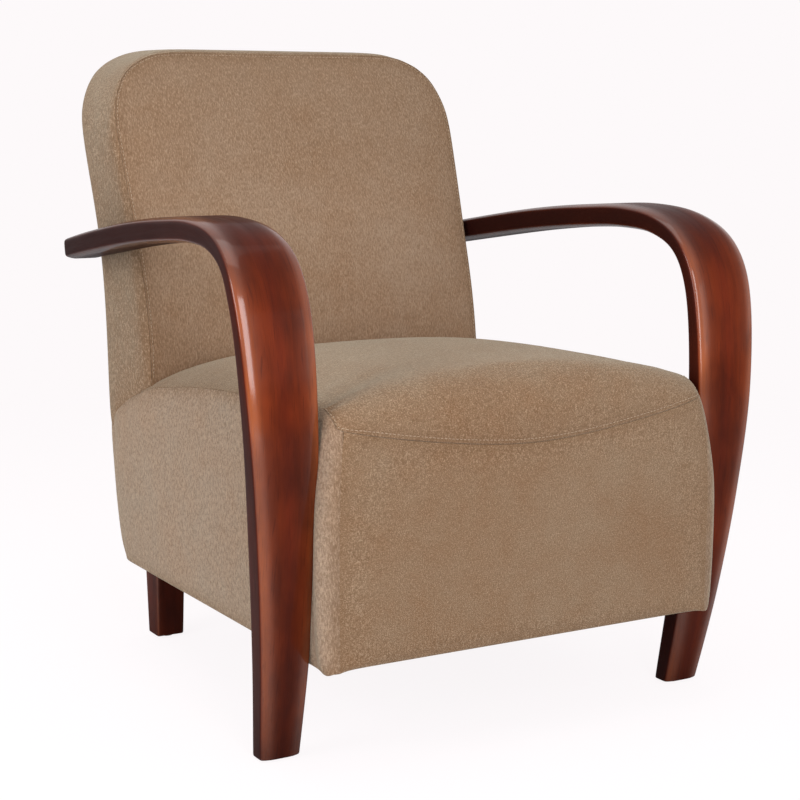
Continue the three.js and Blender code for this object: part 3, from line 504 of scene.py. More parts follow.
def back_rule(p):
    """Where a point of the back's block goes: u is across, v is up and w is the depth."""
    u, v, w = p.x / 100, p.z / 100, p.y / 100
    inside = abs(u) < at_edge and v < at_edge
    if w > at_edge and inside:
        x, z = spread(max(min(u / rim_u, 1), -1), min(v / rim_v, 1), lambda a: side_foot(1), side_foot(1),
                      back_top - rear_turn, back_arc - rear_turn, rear_turn)
        return x, smooth(rear_face, z), z
    edge, arc = smooth(front_inset, w), smooth(corner_arc, w)
    low = crease(1) if w < 0.01 else side_foot(w)
    x, z = spread(u, v, crease if w < 0.01 else (lambda a: low), low, back_top - edge, arc, edge)
    front, rear = smooth(front_face, z), smooth(rear_face, z)
    if w < 0.01:
        return x, front - (swell(x, z) if inside else 0), z
    if v < 0.01:
        x -= math.copysign(3.5, u)
    return x, front + w * (rear - front) - (edge if w > at_edge else 0), z


back = block("back_body", (-100, 0, 0), (100, 100, 100))
cut_rows(back, 0, [s * 100 * side for s in back_columns for side in (-1, 1)] + [0])
cut_rows(back, 1, [w * 100 for w in back_depths])
cut_rows(back, 2, [v * 100 for v in back_levels])
INSIDE, BAND, HIDDEN = range(3)
for name in ["inside_back", "back_band", "unseen"]:
    back.data.materials.append(bpy.data.materials.new("panel_" + name))
for face in back.data.polygons:
    u, w, v = face.center * 10
    if face.normal.y < -0.5:
        face.material_index = INSIDE
    elif face.normal.z < -0.5:
        face.material_index = HIDDEN
    elif face.normal.y > 0.5:
        face.material_index = BAND if abs(u) > rim_u or v > rim_v else HIDDEN
    else:
        face.material_index = BAND
drag_points(back, back_rule)

# %% [markdown]
# ## Filling the covers
# Real covers are cut a little small and stretched over foam, so that every panel swells between its
# seams. A cloth simulation does that: each cover is a cloth that air presses out from inside, while its
# seams are pinned. A cap keeps any point from moving further than foam would push it.


# %% Filling
def seam_edges(piece):
    """The edges between two panels, as indices."""
    slots = {}
    for face in piece.data.polygons:
        for key in face.edge_keys:
            slots.setdefault(key, set()).add(face.material_index)
    keys = {key for key, found in slots.items() if len(found) > 1}
    return [e.index for e in piece.data.edges if e.key in keys]


def pick_edges(piece, indices):
    """Selects edges by index in edit mode."""
    bpy.ops.object.mode_set(mode="EDIT")
    bpy.ops.mesh.select_mode(type="EDGE")
    bpy.ops.mesh.select_all(action="DESELECT")
    mesh = bmesh.from_edit_mesh(piece.data)
    mesh.edges.ensure_lookup_table()
    for i in indices:
        mesh.edges[i].select = True
    bmesh.update_edit_mesh(piece.data)


def fill_cover(piece, unseen, pressure, caps, crease):
    """Smooths a cover, pins its seams and its unseen faces, and presses it out from inside.
    caps gives, for each panel's slot, how far its points may move."""
    pick(piece)
    pick_edges(piece, seam_edges(piece))
    bpy.ops.transform.edge_crease(value=crease)
    bpy.ops.object.mode_set(mode="OBJECT")
    apply_modifier(piece, "SUBSURF", levels=2, render_levels=2)
    pins = piece.vertex_groups.new(name="pins")
    held = {v for i in seam_edges(piece) for v in piece.data.edges[i].vertices}
    held |= {v for f in piece.data.polygons if f.material_index == unseen for v in f.vertices}
    pins.add(list(held), 1.0, "REPLACE")
    before = [v.co.copy() for v in piece.data.vertices]
    cloth = piece.modifiers.new("cloth", "CLOTH")
    settings = cloth.settings
    settings.quality = 6
    settings.mass = 0.3
    settings.tension_stiffness = settings.compression_stiffness = 12
    settings.shear_stiffness = 6
    settings.bending_stiffness = 1
    settings.use_pressure = True
    settings.uniform_pressure_force = pressure
    settings.vertex_group_mass = "pins"
    settings.effector_weights.gravity = 0
    first, last = 1, 20
    cloth.point_cache.frame_start, cloth.point_cache.frame_end = first, last
    for step in range(first, last + 1):
        scene.frame_set(step)
    pick(piece)
    bpy.ops.object.modifier_apply(modifier="cloth")
    scene.frame_set(first)
    cap_of = {}
    for face in piece.data.polygons:
        for v in face.vertices:
            cap_of[v] = min(cap_of.get(v, 1), caps[face.material_index])
    most = 0
    for v, old in zip(piece.data.vertices, before):
        move = v.co - old
        most = max(most, move.length)
        if move.length > 1e-7:
            v.co = old + move.normalized() * cap_of[v.index] * math.tanh(move.length / cap_of[v.index])
    print(piece.name, "pressed out by up to", round(most / mm, 1), "mm, held to", [c / mm for c in caps])


air = 3
fill_cover(seat, UNSEEN, air, [4 * mm, 3 * mm, 3 * mm, 3 * mm, 1 * mm], 0.3)
fill_cover(back, HIDDEN, air, [4 * mm, 0.8 * mm, 1 * mm], 0.35)

# %% [markdown]
# ## Seams
# A seam is a narrow valley with a thread in it. The seam edges are bevelled into two thin strips, the
# line between the strips is pushed inwards, and the panels are parted along it. The line is first
# copied as a curve, and short stitches are repeated along that curve.


# %% Seam helpers
def push_in_seams(piece, width, depth):
    """Bevels the seams and pushes their middle line inwards, but not at the box's front corners,
    where the upright seams are sewn flat."""
    corner_x, corner_y, corner_z = 240 * mm, -340 * mm, 370 * mm
    pick(piece)
    pick_edges(piece, seam_edges(piece))
    bpy.ops.mesh.bevel(offset=width, segments=2, profile=0.5, affect="EDGES", clamp_overlap=True)
    mesh = bmesh.from_edit_mesh(piece.data)
    inner = [v for v in mesh.verts if v.select and all(f.select for f in v.link_faces)]
    inner = [v for v in inner if abs(v.co.x) < corner_x or v.co.y > corner_y or v.co.z > corner_z]
    bpy.ops.mesh.select_all(action="DESELECT")
    bpy.ops.mesh.select_mode(type="VERT")
    mesh = bmesh.from_edit_mesh(piece.data)
    for v in inner:
        v.select = True
    bmesh.update_edit_mesh(piece.data)
    bpy.ops.transform.shrink_fatten(value=-depth)
    bpy.ops.object.mode_set(mode="OBJECT")
    print(piece.name, "seam points pushed in:", len(inner))


def part_panels(piece):
    """Parts a body into its panels by slot and gives back the panels by name."""
    pick(piece)
    bpy.ops.object.mode_set(mode="EDIT")
    bpy.ops.mesh.select_all(action="SELECT")
    bpy.ops.mesh.separate(type="MATERIAL")
    bpy.ops.object.mode_set(mode="OBJECT")
    panels = {}
    for part in list(bpy.context.selected_objects):
        slots = part.data.materials
        label = slots[part.data.polygons[0].material_index if len(slots) > 1 else 0].name
        name = label.removeprefix("panel_").split(".")[0]
        if name == "unseen":
            bpy.data.objects.remove(part)
            continue
        part.name = part.data.name = name
        panels[name] = part
    print("panels:", sorted(panels))
    return panels


def tree_of(places):
    """A search tree for the nearest of some places."""
    tree = KDTree(len(places))
    for i, place in enumerate(places):
        tree.insert(place, i)
    tree.balance()
    return tree


def pad_panel(panel, thickness, rim_reach):
    """Gives a panel its padding, thick in the middle and thin along its seams, and an attribute that
    is 1 at the seams and fades within the rim's reach."""
    border = {v for e in open_edges(panel) for v in panel.data.edges[e].vertices}
    tree = tree_of([panel.data.vertices[v].co for v in border])
    group = panel.vertex_groups.new(name="padding")
    # The rim attribute carries the painted shade along the seams in the velour's colour.
    panel.data.attributes.new("rim", "FLOAT", "POINT")
    rim = panel.data.attributes["rim"]
    for v in panel.data.vertices:
        away = tree.find(v.co)[2]
        rim.data[v.index].value = math.exp(-(away / rim_reach) ** 2)
        group.add([v.index], max(min(away / (1.6 * thickness), 1), 0.08), "REPLACE")
    apply_modifier(panel, "SOLIDIFY", thickness=thickness, offset=-1, vertex_group="padding")
    panel.vertex_groups.clear()


def open_edges(panel):
    """The edges that only one face uses."""
    count = {}
    for face in panel.data.polygons:
        for key in face.edge_keys:
            count[key] = count.get(key, 0) + 1
    return [e.index for e in panel.data.edges if count.get(e.key, 0) == 1]


def open_line(panel, test):
    """The points along a panel's open edge that pass a test, in order, evenly spaced."""
    links = {}
    for i in open_edges(panel):
        a, b = panel.data.edges[i].vertices
        if test(panel.data.vertices[a].co / mm) and test(panel.data.vertices[b].co / mm):
            links.setdefault(a, []).append(b)
            links.setdefault(b, []).append(a)
    best = []
    for start in [v for v, near in links.items() if len(near) == 1]:
        line, last = [start], None
        while True:
            ahead = [v for v in links[line[-1]] if v != last]
            if not ahead or ahead[0] == start:
                break
            last = line[-1]
            line.append(ahead[0])
        if len(line) > len(best):
            best = line
    return even_line([panel.data.vertices[v].co.copy() for v in best])


def even_line(points, step=2 * mm):
    """The same line with its points at an even step."""
    line, left = [points[0]], 0.0
    for a, b in zip(points, points[1:]):
        length = (b - a).length
        place = step - left
        while place <= length:
            line.append(a + (b - a) * place / length)
            place += step
        left = length - (place - step)
    return line


def beside(panel, line, distance):
    """A line on the panel's surface, at a distance inwards from its edge."""
    middles = tree_of([face.center for face in panel.data.polygons])
    ways = []
    for i, point in enumerate(line):
        ahead = (line[min(i + 1, len(line) - 1)] - line[max(i - 1, 0)]).normalized()
        near = [Vector(place) for place, _, _ in middles.find_n(point, 10)]
        way = sum(near, Vector()) / len(near) - point
        ways.append((way - ahead * way.dot(ahead)).normalized())
    row = []
    for i, point in enumerate(line):
        way = sum(ways[max(i - 6, 0):i + 7], Vector()).normalized()
        _, place, normal, _ = panel.closest_point_on_mesh(point + way * distance)
        row.append(place + normal * 0.05 * mm)
    return row


def lower_along(panel, line, depth, reach):
    """Presses a shallow groove into a panel along a line, as a tight row of stitches does."""
    near = tree_of(line)
    for v in panel.data.vertices:
        away = near.find(v.co)[2]
        if away < 3 * reach:
            v.co -= v.normal * depth * math.exp(-(away / reach) ** 2)


# %% [markdown]
# Now both bodies get their seams and are parted. The open edges of the panels give the lines of
# thread: one in each seam, and a second row just beside the seams across the front and round the back.
# Each panel then gets its padding, so that it is a soft piece of its own.

# %% Finish the covers
velour_panels = {}
seam_width, seam_depth, rear_reach = 1.6, 1.5, 9
for body in (seat, back):
    apply_modifier(body, "SUBSURF", levels=1, render_levels=1)
    push_in_seams(body, seam_width * mm, seam_depth * mm)
    velour_panels.update(part_panels(body))

rear_border = []
for name in ("back_band", "side_panel_left", "side_panel_right"):
    panel = velour_panels[name]
    for i in {v for e in open_edges(panel) for v in panel.data.edges[e].vertices}:
        co = panel.data.vertices[i].co / mm
        if co.y > smooth(rear_face, co.z) - rear_reach and co.z > box_bottom + 1:
            rear_border.append(panel.data.vertices[i].co.copy())
print("rear seam points:", len(rear_border))
seat_cover, back_cover = velour_panels["seat_top"], velour_panels["inside_back"]
before_y, side_x, side_from, side_to, above_z, beyond_x = -330, 246, -372, 130, 372, 253
thread_lines = {
    "front_seam": open_line(seat_cover, lambda p: p.y < before_y and abs(p.x) < wall_x),
    "seat_seam_left": open_line(seat_cover, lambda p: p.x < -side_x and side_from < p.y < side_to),
    "seat_seam_right": open_line(seat_cover, lambda p: p.x > side_x and side_from < p.y < side_to),
    "back_seam": open_line(back_cover, lambda p: p.z > above_z or abs(p.x) > beyond_x)}
thread_lines["front_row"] = beside(seat_cover, thread_lines["front_seam"][3:-3], 5.5 * mm)
thread_lines["back_row"] = beside(back_cover, thread_lines["back_seam"], 3.5 * mm)
lower_along(seat_cover, thread_lines["front_row"], 0.5 * mm, 2.5 * mm)
lower_along(back_cover, thread_lines["back_row"], 0.4 * mm, 2 * mm)
for name, line in thread_lines.items():
    print(name, round(len(line) * 2), "mm")
padding = {"seat_top": 26, "front_panel": 8, "side_panel_left": 7, "side_panel_right": 7,
           "inside_back": 26, "back_band": 8}
narrow_rim, band_rim = 12, 28
for name, thick in padding.items():
    pad_panel(velour_panels[name], thick * mm, (band_rim if name == "back_band" else narrow_rim) * mm)
    pick(velour_panels[name])
    bpy.ops.object.shade_smooth()

# %% [markdown]
# ## The bentwood arms
# A bent arm begins as a straight blank that tapers in width and thickness. Its four long edges are
# rounded alike, tight at the side and long on the face, and the far end becomes a blunt tip. Only then is
# it bent: every row of the blank is carried to its place on the arm's middle line and turned with it.
# The blank's own coordinates are kept as an attribute first, so that the grain follows the bend.

# %% Path of the arm
arm_inner_x, arm_width, arm_thickness = 259.6, 92, 32
path_y = [-291.5, -316.2, -333.2, -341.4, -325.3, -298, -251.6, -184.8, -95.4, 21.2, 186.2, 288.1]
path_z = [1.6, 126.2, 255.4, 389.8, 512.1, 555.7, 577.8, 584.8, 580.7, 569.7, 547, 531.3]
width_shares = [0.54, 0.66, 0.78, 0.9, 0.97, 0.95, 0.9, 0.85, 0.8, 0.75, 0.68, 0.6]
thickness_shares = [0.93, 1.05, 1.08, 0.92, 0.8, 0.78, 0.86, 0.93, 0.94, 0.96, 0.95, 0.92]


def path_point(t):
    """A point of the smooth path through the arm's middle, t in steps of its table."""
    points = [Vector((y, z)) for y, z in zip(path_y, path_z)]
    points = [2 * points[0] - points[1]] + points + [2 * points[-1] - points[-2]]
    i = min(int(t), len(path_y) - 2)
    a, b, c, d = points[i:i + 4]
    ab, bc, cd = (math.sqrt((q - p).length) for p, q in ((a, b), (b, c), (c, d)))
    start = ((b - a) / ab - (c - a) / (ab + bc) + (c - b) / bc) * bc
    end = ((c - b) / bc - (d - b) / (bc + cd) + (d - c) / cd) * bc
    t -= i
    return b + start * t + (3 * (c - b) - 2 * start - end) * t * t + (2 * (b - c) + start + end) * t ** 3


path, steps_per_knot = [], 60
for i in range((len(path_y) - 1) * steps_per_knot + 1):
    t = i / steps_per_knot
    place = path_point(t)
    length = path[-1][0] + (place - path[-1][2]).length if path else 0
    path.append((length, t, place))
arm_length = path[-1][0]
print("arm length", round(arm_length), "mm")


def along_path(length):
    """The table place, the point and the direction of the path at a length."""
    length = min(max(length, 0), arm_length)
    i = next((k for k in range(1, len(path)) if path[k][0] >= length), len(path) - 1)
    (l0, t0, p0), (l1, t1, p1) = path[i - 1], path[i]
    k = (length - l0) / (l1 - l0)
    return t0 + (t1 - t0) * k, p0 + (p1 - p0) * k, (p1 - p0).normalized()


# %% [markdown]
# The blank is a block with many rows along its length, closer together at the tip. Its long edges are
# bevelled, then pulled into their curve. The foot's edge is eased, and the end is inset and rounded.


# %% Arm blank
def select_where(piece, kind, test):
    """Selects the edges or faces that pass a test, in edit mode."""
    pick(piece)
    bpy.ops.object.mode_set(mode="EDIT")
    bpy.ops.mesh.select_mode(type=kind)
    bpy.ops.mesh.select_all(action="DESELECT")
    mesh = bmesh.from_edit_mesh(piece.data)
    for item in mesh.edges if kind == "EDGE" else mesh.faces:
        if test(item):
            item.select = True
    bmesh.update_edit_mesh(piece.data)


def bevel_where(piece, test, width, steps):
    """Rounds the edges that pass a test."""
    select_where(piece, "EDGE", test)
    bpy.ops.mesh.bevel(offset=width * mm, segments=steps, profile=0.5, affect="EDGES")
    bpy.ops.object.mode_set(mode="OBJECT")


def drop_faces(piece, test):
    """Deletes the faces that pass a test."""
    select_where(piece, "FACE", test)
    bpy.ops.mesh.delete(type="FACE")
    bpy.ops.object.mode_set(mode="OBJECT")


def runs_up(edge):
    """Whether an edge leaves its own height."""
    return abs(edge.verts[0].co.z - edge.verts[1].co.z) > 1e-3


def at_length(shares, z):
    """The arm's share of its full width or thickness at a length."""
    return smooth(list(enumerate(shares)), along_path(z)[0])


def from_side(x, z):
    """How far a point of the blank lies from its nearer side, which side that is, and the width there."""
    wide = arm_width * at_length(width_shares, z)
    return min(x, wide - x), x > wide / 2, wide


tip_length, tip_share, arm_rows = 22, 0.45, 92
round_width, round_steps = 11.8, 7
arm = block("arm_right", (0, -arm_thickness / 2, 0), (arm_width, arm_thickness / 2, arm_length))
stations = [arm_length * i / arm_rows for i in range(1, arm_rows)]
stations = [z for z in stations if z < arm_length - tip_length]
stations += [arm_length - tip_length * (1 - math.sin(k * math.pi / 10)) for k in range(5)]
cut_rows(arm, 2, stations)
cut_rows(arm, 0, [arm_width / 2])
drag_points(arm, lambda p: (p.x * at_length(width_shares, p.z), p.y * at_length(thickness_shares, p.z), p.z))
bevel_where(arm, lambda e: runs_up(e) and all(from_side(v.co.x / mm, v.co.z / mm)[0] < 1 for v in e.verts),
            round_width, round_steps)
in_from_side = [0, 0.25, 1, 2.4, 6, 11, 14.5, 18]
in_from_face = [8.5, 6.2, 4.4, 3.1, 1.75, 0.4, 0.05, 0]


def profile_rule(p):
    """Turns the round edges into a tight curve at the side and a long, nearly flat one on the face."""
    into, outer, wide = from_side(p.x, p.z)
    if into > round_width + 0.05:
        return p.x, p.y, p.z
    step = math.degrees(math.acos(1 - clamp(into / round_width))) * round_steps / 90
    a = smooth(list(enumerate(in_from_side)), step)
    b = smooth(list(enumerate(in_from_face)), step)
    thick = arm_thickness / 2 * at_length(thickness_shares, p.z)
    return wide - a if outer else a, math.copysign(thick - b, p.y), p.z


def tip_rule(p):
    """The blunt, rounded end of the blank."""
    past = clamp((p.z - (arm_length - tip_length)) / tip_length)
    round_share = tip_share + (1 - tip_share) * math.sqrt(1 - past * past)
    return p.x * round_share, p.y * round_share, p.z


drag_points(arm, profile_rule)
bevel_where(arm, lambda e: all(v.co.z < 1e-4 for v in e.verts), 2.2, 3)
for _ in range(2):
    select_where(arm, "FACE", lambda f: f.normal.z > 0.9 and f.calc_center_median().z > (arm_length - 1) * mm)
    bpy.ops.mesh.inset(thickness=3.2 * mm)
    bpy.ops.transform.translate(value=(0, 0, 0.01 * mm))
    bpy.ops.object.mode_set(mode="OBJECT")
drag_points(arm, tip_rule)

# %% [markdown]
# The grain attribute holds each point's place in the straight blank. The edge attribute is one on the
# rounded corners, which are lighter, partly as worn stain and partly as a painted highlight, and nothing
# on the flats. It falls below nothing on the arms' narrow sides, which it darkens as painted shade.


# %% Grain, edge and bend
def keep_grain(piece, offset):
    """Stores the blank's coordinates and its rounded corners as attributes of the points."""
    piece.data.attributes.new("grain", "FLOAT_VECTOR", "POINT")
    piece.data.attributes.new("edge", "FLOAT", "POINT")
    grain, edge = piece.data.attributes["grain"], piece.data.attributes["edge"]
    for v in piece.data.vertices:
        grain.data[v.index].vector = v.co + Vector(offset)
        flat = max(abs(v.normal.x), abs(v.normal.y))
        edge.data[v.index].value = clamp((1 - flat) / 0.25)


keep_grain(arm, (0, 0, 0))
edge = arm.data.attributes["edge"]
# Positive values light the rounded edges, partly as thinner stain and partly as a painted highlight; negative
# values on the narrow sides paint shade.
edge_highlight_and_shade = [(0, -0.35), (0.25, -0.3), (1, 0.5), (2.4, 1), (6, 0.9), (11, 0.55), (14.5, 0.3),
              (18, 0.15), (26, 0)]
for v in arm.data.vertices:
    into = from_side(v.co.x / mm, v.co.z / mm)[0]
    edge.data[v.index].value = smooth(edge_highlight_and_shade, min(max(into, 0), edge_highlight_and_shade[-1][0]))
bpy.ops.object.mode_set(mode="EDIT")
bpy.ops.mesh.select_mode(type="VERT")
rows, upright_foot = {}, 45
for v in bmesh.from_edit_mesh(arm.data).verts:
    rows.setdefault(round(v.co.z / mm, 2), []).append(v.index)
for z, row in rows.items():
    _, place, ahead = along_path(z)
    angle = math.atan2(-ahead.x, ahead.y) * ease(z / upright_foot)
    bpy.ops.mesh.select_all(action="DESELECT")
    mesh = bmesh.from_edit_mesh(arm.data)
    mesh.verts.ensure_lookup_table()
    for i in row:
        mesh.verts[i].select = True
    past = max(z - arm_length, 0)
    shift = Vector((arm_inner_x, place.x + past * ahead.x, place.y - z + past * ahead.y)) * mm
    bpy.ops.transform.translate(value=shift)
    centre = shift + Vector((0, 0, z * mm))
    bpy.ops.transform.rotate(value=-angle, orient_axis="X", center_override=centre)
bpy.ops.object.mode_set(mode="OBJECT")
apply_modifier(arm, "SUBSURF", levels=1, render_levels=1)
bpy.ops.object.shade_smooth()
low, high = ([round(end(v.co[k] for v in arm.data.vertices) / mm, 1) for k in range(3)] for end in (min, max))
packed = [[round(c / mm, 1) for c in corner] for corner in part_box("arm_right")]
print("arm from", low, "to", high, "packed", packed)

# %% [markdown]
# The left arm is the right one's mirror. Its grain is read from another part of the stain, so that the
# two don't look alike.

# %% The other arm
bpy.ops.object.duplicate()
left_arm = bpy.context.object
left_arm.name = left_arm.data.name = "arm_left_wood"
arm.name = arm.data.name = "arm_right_wood"
bpy.ops.object.mode_set(mode="EDIT")
bpy.ops.mesh.select_all(action="SELECT")
bpy.ops.transform.resize(value=(-1, 1, 1), center_override=(0, 0, 0))
bpy.ops.mesh.normals_make_consistent(inside=False)
bpy.ops.object.mode_set(mode="OBJECT")
grain = left_arm.data.attributes["grain"]
for item in grain.data:
    item.vector = Vector(item.vector) + Vector((0.4, 0.23, 0))

# %% [markdown]
# ## Rear legs
# The rear legs are square blocks that taper down. Their bottom is drawn in, and every long edge and the
# edge round the foot is eased.

# %% Rear legs
legs, leg_size, foot_wide, foot_deep = {}, 42, 39, 34
for side, name in ((-1, "left"), (1, "right")):
    low, high = (corner / mm for corner in map(Vector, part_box("rear_leg_" + name)))
    leg = block("rear_leg_" + name + "_wood", low, high)
    middle = (low + high) / 2
    cut_rows(leg, 2, [low.z + 5, low.z + 30, low.z + 70, high.z - 1])

    def taper(p):
        up = (p.z - low.z) / (high.z - low.z)
        wide, deep = (foot_wide + 4 * up) / leg_size, (foot_deep + 8 * up) / leg_size
        return middle.x + (p.x - middle.x) * wide, middle.y + (p.y - middle.y) * deep, p.z

    drag_points(leg, taper)
    bevel_where(leg, runs_up, 4, 4)
    bevel_where(leg, lambda e: all(v.co.z < (low.z + 0.1) * mm for v in e.verts), 1.8, 3)
    keep_grain(leg, (side * 0.31, 0.07, 0))
    apply_modifier(leg, "SUBSURF", levels=1, render_levels=1)
    bpy.ops.object.shade_smooth()
    legs[name] = leg

# %% [markdown]
# ## The outside back
# The rear of the chair is one flat cover from the top of the back to the bottom of the box. It is
# stretched over the posts and sewn on by hand along its border, so it is nearly flat and its border
# dips a little.

# %% Outside back
outside_low, outside_top, outside_arc = 116, 777.6, 86
most_puff, most_dip, dip_share, set_in = 1.8, 1.6, 0.982, 0.6


def outside_rule(p):
    """Where a point of the outside back goes: u is across and v is up."""
    u, v = p.x / 100, p.z / 100
    inset = 18 + 2.4 * clamp((v - 0.225) / 0.03)
    x, z = spread(u, v, lambda a: outside_low, outside_low, outside_top, outside_arc, inset)
    puff = most_puff * (1 - abs(u) ** 5) * (1 - abs(2 * v - 1) ** 7)
    border = max(abs(u), abs(2 * v - 1) * (1 if v > 0.5 else 0))
    dip = most_dip * max((border - dip_share) / (1 - dip_share), 0)
    return x, smooth(rear_face, z) + puff - dip - set_in, z


outside = block("outside_back", (-100, -1, 0), (100, 0, 100))
drop_faces(outside, lambda f: f.normal.y < 0.9)
outside_columns = [0.25, 0.5, 0.655, 0.74, 0.83, 0.91, 0.962, 0.988]
cut_rows(outside, 0, [s * 100 * side for s in outside_columns for side in (-1, 1)] + [0])
cut_rows(outside, 2, [2, 4.5, 8, 14, 20, 22.5, 25.5, 32, 42, 55, 69, 80.5, 86, 91, 95.5, 98.4, 99.5])
drag_points(outside, outside_rule)
border_tree, gaps, loose_hem = tree_of(rear_border), [], 238
for i in {v for e in open_edges(outside) for v in outside.data.edges[e].vertices}:
    v = outside.data.vertices[i]
    if v.co.z < (outside_low + 2) * mm and abs(v.co.x) < loose_hem * mm:
        continue
    a, b = (Vector(place) for place, _, _ in border_tree.find_n(v.co, 2))
    place = a + (b - a) * clamp((v.co - a).dot(b - a) / max((b - a).length_squared, 1e-12))
    gaps.append((place - v.co).length / mm)
    v.co = place
print("outside back drawn to the rear seam by", round(min(gaps), 1), "to", round(max(gaps), 1), "mm")
outside_seam = open_line(outside, lambda p: p.z > outside_low + 3)
apply_modifier(outside, "SUBSURF", levels=2, render_levels=2)
apply_modifier(outside, "SOLIDIFY", thickness=2.2 * mm, offset=-1)
bpy.ops.object.shade_smooth()
thread_lines["outside_seam"] = [place + Vector((0, 0.9 * mm, 0)) for place in outside_seam]

# %% [markdown]
# ## Stitches
# One stitch is a small, slightly flattened bead of thread. It is repeated along each seam by an Array
# modifier and laid along it by a Curve modifier.


# %% Sewing
def sew(name, line, pitch, length, width):
    """Repeats one stitch along a line of points."""
    curve_data = bpy.data.curves.new(name + "_path", "CURVE")
    curve_data.dimensions = "3D"
    spline = curve_data.splines.new("POLY")
    spline.points.add(len(line) - 1)
    for point, place in zip(spline.points, line):
        point.co = (*place, 1)
    path_object = bpy.data.objects.new(name + "_path", curve_data)
    scene.collection.objects.link(path_object)
    bpy.ops.object.select_all(action="DESELECT")
    bpy.ops.mesh.primitive_uv_sphere_add(segments=6, ring_count=4, radius=0.5)
    stitch = bpy.context.object
    stitch.name = stitch.data.name = name
    bpy.ops.transform.rotate(value=math.pi / 2, orient_axis="Y", center_override=(0, 0, 0))
    bpy.ops.object.transform_apply(location=True, rotation=True, scale=True)
    bpy.ops.transform.resize(value=(length, width, width))
    bpy.ops.object.transform_apply(location=True, rotation=True, scale=True)
    count = int((len(line) - 1) * 2 * mm / pitch)
    apply_modifier(stitch, "ARRAY", fit_type="FIXED_COUNT", count=count, use_relative_offset=False,
                   use_constant_offset=True, constant_offset_displace=(pitch, 0, 0))
    bpy.ops.object.mode_set(mode="EDIT")
    bpy.ops.mesh.select_all(action="SELECT")
    bpy.ops.transform.translate(value=(pitch / 2, 0, 0))
    bpy.ops.object.mode_set(mode="OBJECT")
    apply_modifier(stitch, "CURVE", object=path_object, deform_axis="POS_X")
    bpy.ops.object.shade_smooth()
    bpy.data.objects.remove(path_object)
    print(name, count, "stitches")
    return stitch


stitches = []
for name, line in thread_lines.items():
    pitch, length = (8, 3) if name == "outside_seam" else (5, 3.8)
    stitches.append(sew("thread_" + name, line, pitch * mm, length * mm, 0.75 * mm))

# %% [markdown]
# ## The lining under the seat
# A black lining closes the box from below. It is stretched between the rails, its hem is turned under
# and stapled, and between the staples it pulls into small waves.


# %% Lining and staples
lining_half, lining_front, lining_rear, drawn = 253, -368.5, 224, 60


def lining_rule(p):
    """Where a point of the lining goes: it sags in the middle and is drawn up at the staples."""
    inside = clamp(min(lining_half - abs(p.x), p.y - lining_front, lining_rear - p.y) / drawn)
    wave = 0.4 * math.cos((p.x + p.y) / 40 * 2 * math.pi) * math.exp(-(inside * drawn / 22) ** 2)
    return p.x, p.y, p.z - 2.2 * ease(inside) + wave * (0 if inside < 0.02 else 1)


lining = block("lining", (-lining_half, lining_front, 115.9), (lining_half, lining_rear, 117))
drop_faces(lining, lambda f: f.normal.z > -0.9)
cut_rows(lining, 0, [*range(-240, 241, 10), -250, 250])
cut_rows(lining, 1, [*range(-365, 220, 10), 221])
drag_points(lining, lining_rule)
apply_modifier(lining, "SOLIDIFY", thickness=1.1 * mm, offset=0)
apply_modifier(lining, "BEVEL", width=0.6 * mm, segments=2, limit_method="ANGLE", angle_limit=math.radians(60))
bpy.ops.object.shade_smooth()

staple_places = [(x, y, 0) for x in range(-220, 221, 40) for y in (-362, 212)]
staple_places += [(x, y, 90) for x in (-240, 240) for y in range(-340, 200, 40)]
staples = []
for i, (x, y, angle) in enumerate(staple_places):
    bpy.ops.object.select_all(action="DESELECT")
    bpy.ops.mesh.primitive_cube_add(size=1, location=(0, 0, 0))
    bpy.ops.transform.resize(value=(10 * mm, 1.2 * mm, 0.7 * mm))
    staple = bpy.context.object
    if angle:
        bpy.ops.transform.rotate(value=math.pi / 2, orient_axis="Z", center_override=(0, 0, 0))
    staple.location = (x * mm, y * mm, 115 * mm)
    bpy.ops.object.transform_apply(location=True, rotation=True, scale=True)
    staples.append(staple)
bpy.ops.object.select_all(action="DESELECT")
for staple in staples:
    staple.select_set(True)
bpy.context.view_layer.objects.active = staples[0]
bpy.ops.object.join()
staples = bpy.context.object
staples.name = staples.data.name = "staples"
apply_modifier(staples, "BEVEL", width=0.25 * mm, segments=1, limit_method="NONE")
print("staples:", len(staple_places))

# %% [markdown]
# ## Felt and webbing
# These lie inside, between the frame and the padding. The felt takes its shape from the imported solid
# by a Shrinkwrap modifier, which drops a flat grid onto it, and each strap lies on its own solid.


# %% Felt and straps
def settle(name, low, high, axis, columns, rows, target, thickness):
    """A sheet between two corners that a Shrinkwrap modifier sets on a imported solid, along an axis."""
    sheet = block(name, low, high)
    drop_faces(sheet, lambda f: f.normal[axis] < 0.9)
    for k, count in ((0, columns), (3 - axis, rows)):
        cut_rows(sheet, k, [low[k] + (high[k] - low[k]) * i / count for i in range(1, count)])
    apply_modifier(sheet, "SHRINKWRAP", target=target, wrap_method="PROJECT", use_negative_direction=True,
                   use_positive_direction=False, **{"use_project_" + "xyz"[axis]: True})
    apply_modifier(sheet, "SOLIDIFY", thickness=thickness, offset=-1)
    apply_modifier(sheet, "BEVEL", width=thickness * 0.3, segments=2, limit_method="ANGLE",
                   angle_limit=math.radians(60))
    bpy.ops.object.shade_smooth()
    return sheet


def corners(node):
    """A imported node's box in millimetres."""
    return [list(corner / mm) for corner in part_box(node)]


low, high = corners("spring_felt")
felt = settle("felt_pad", (low[0] + 0.5, low[1] + 0.5, high[2] + 1), (high[0] - 0.5, high[1] - 0.5, high[2] + 2),
              2, 24, 40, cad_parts["spring_felt"], 3.6 * mm)
straps = []
for i in range(1, 5):
    node = "back_webbing_" + str(i)
    low, high = corners(node)
    straps.append(settle("strap_" + str(i), (low[0], high[1] + 1, low[2] + 1), (high[0], high[1] + 2, high[2] - 1),
                         1, 40, 6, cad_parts[node], 1.4 * mm))

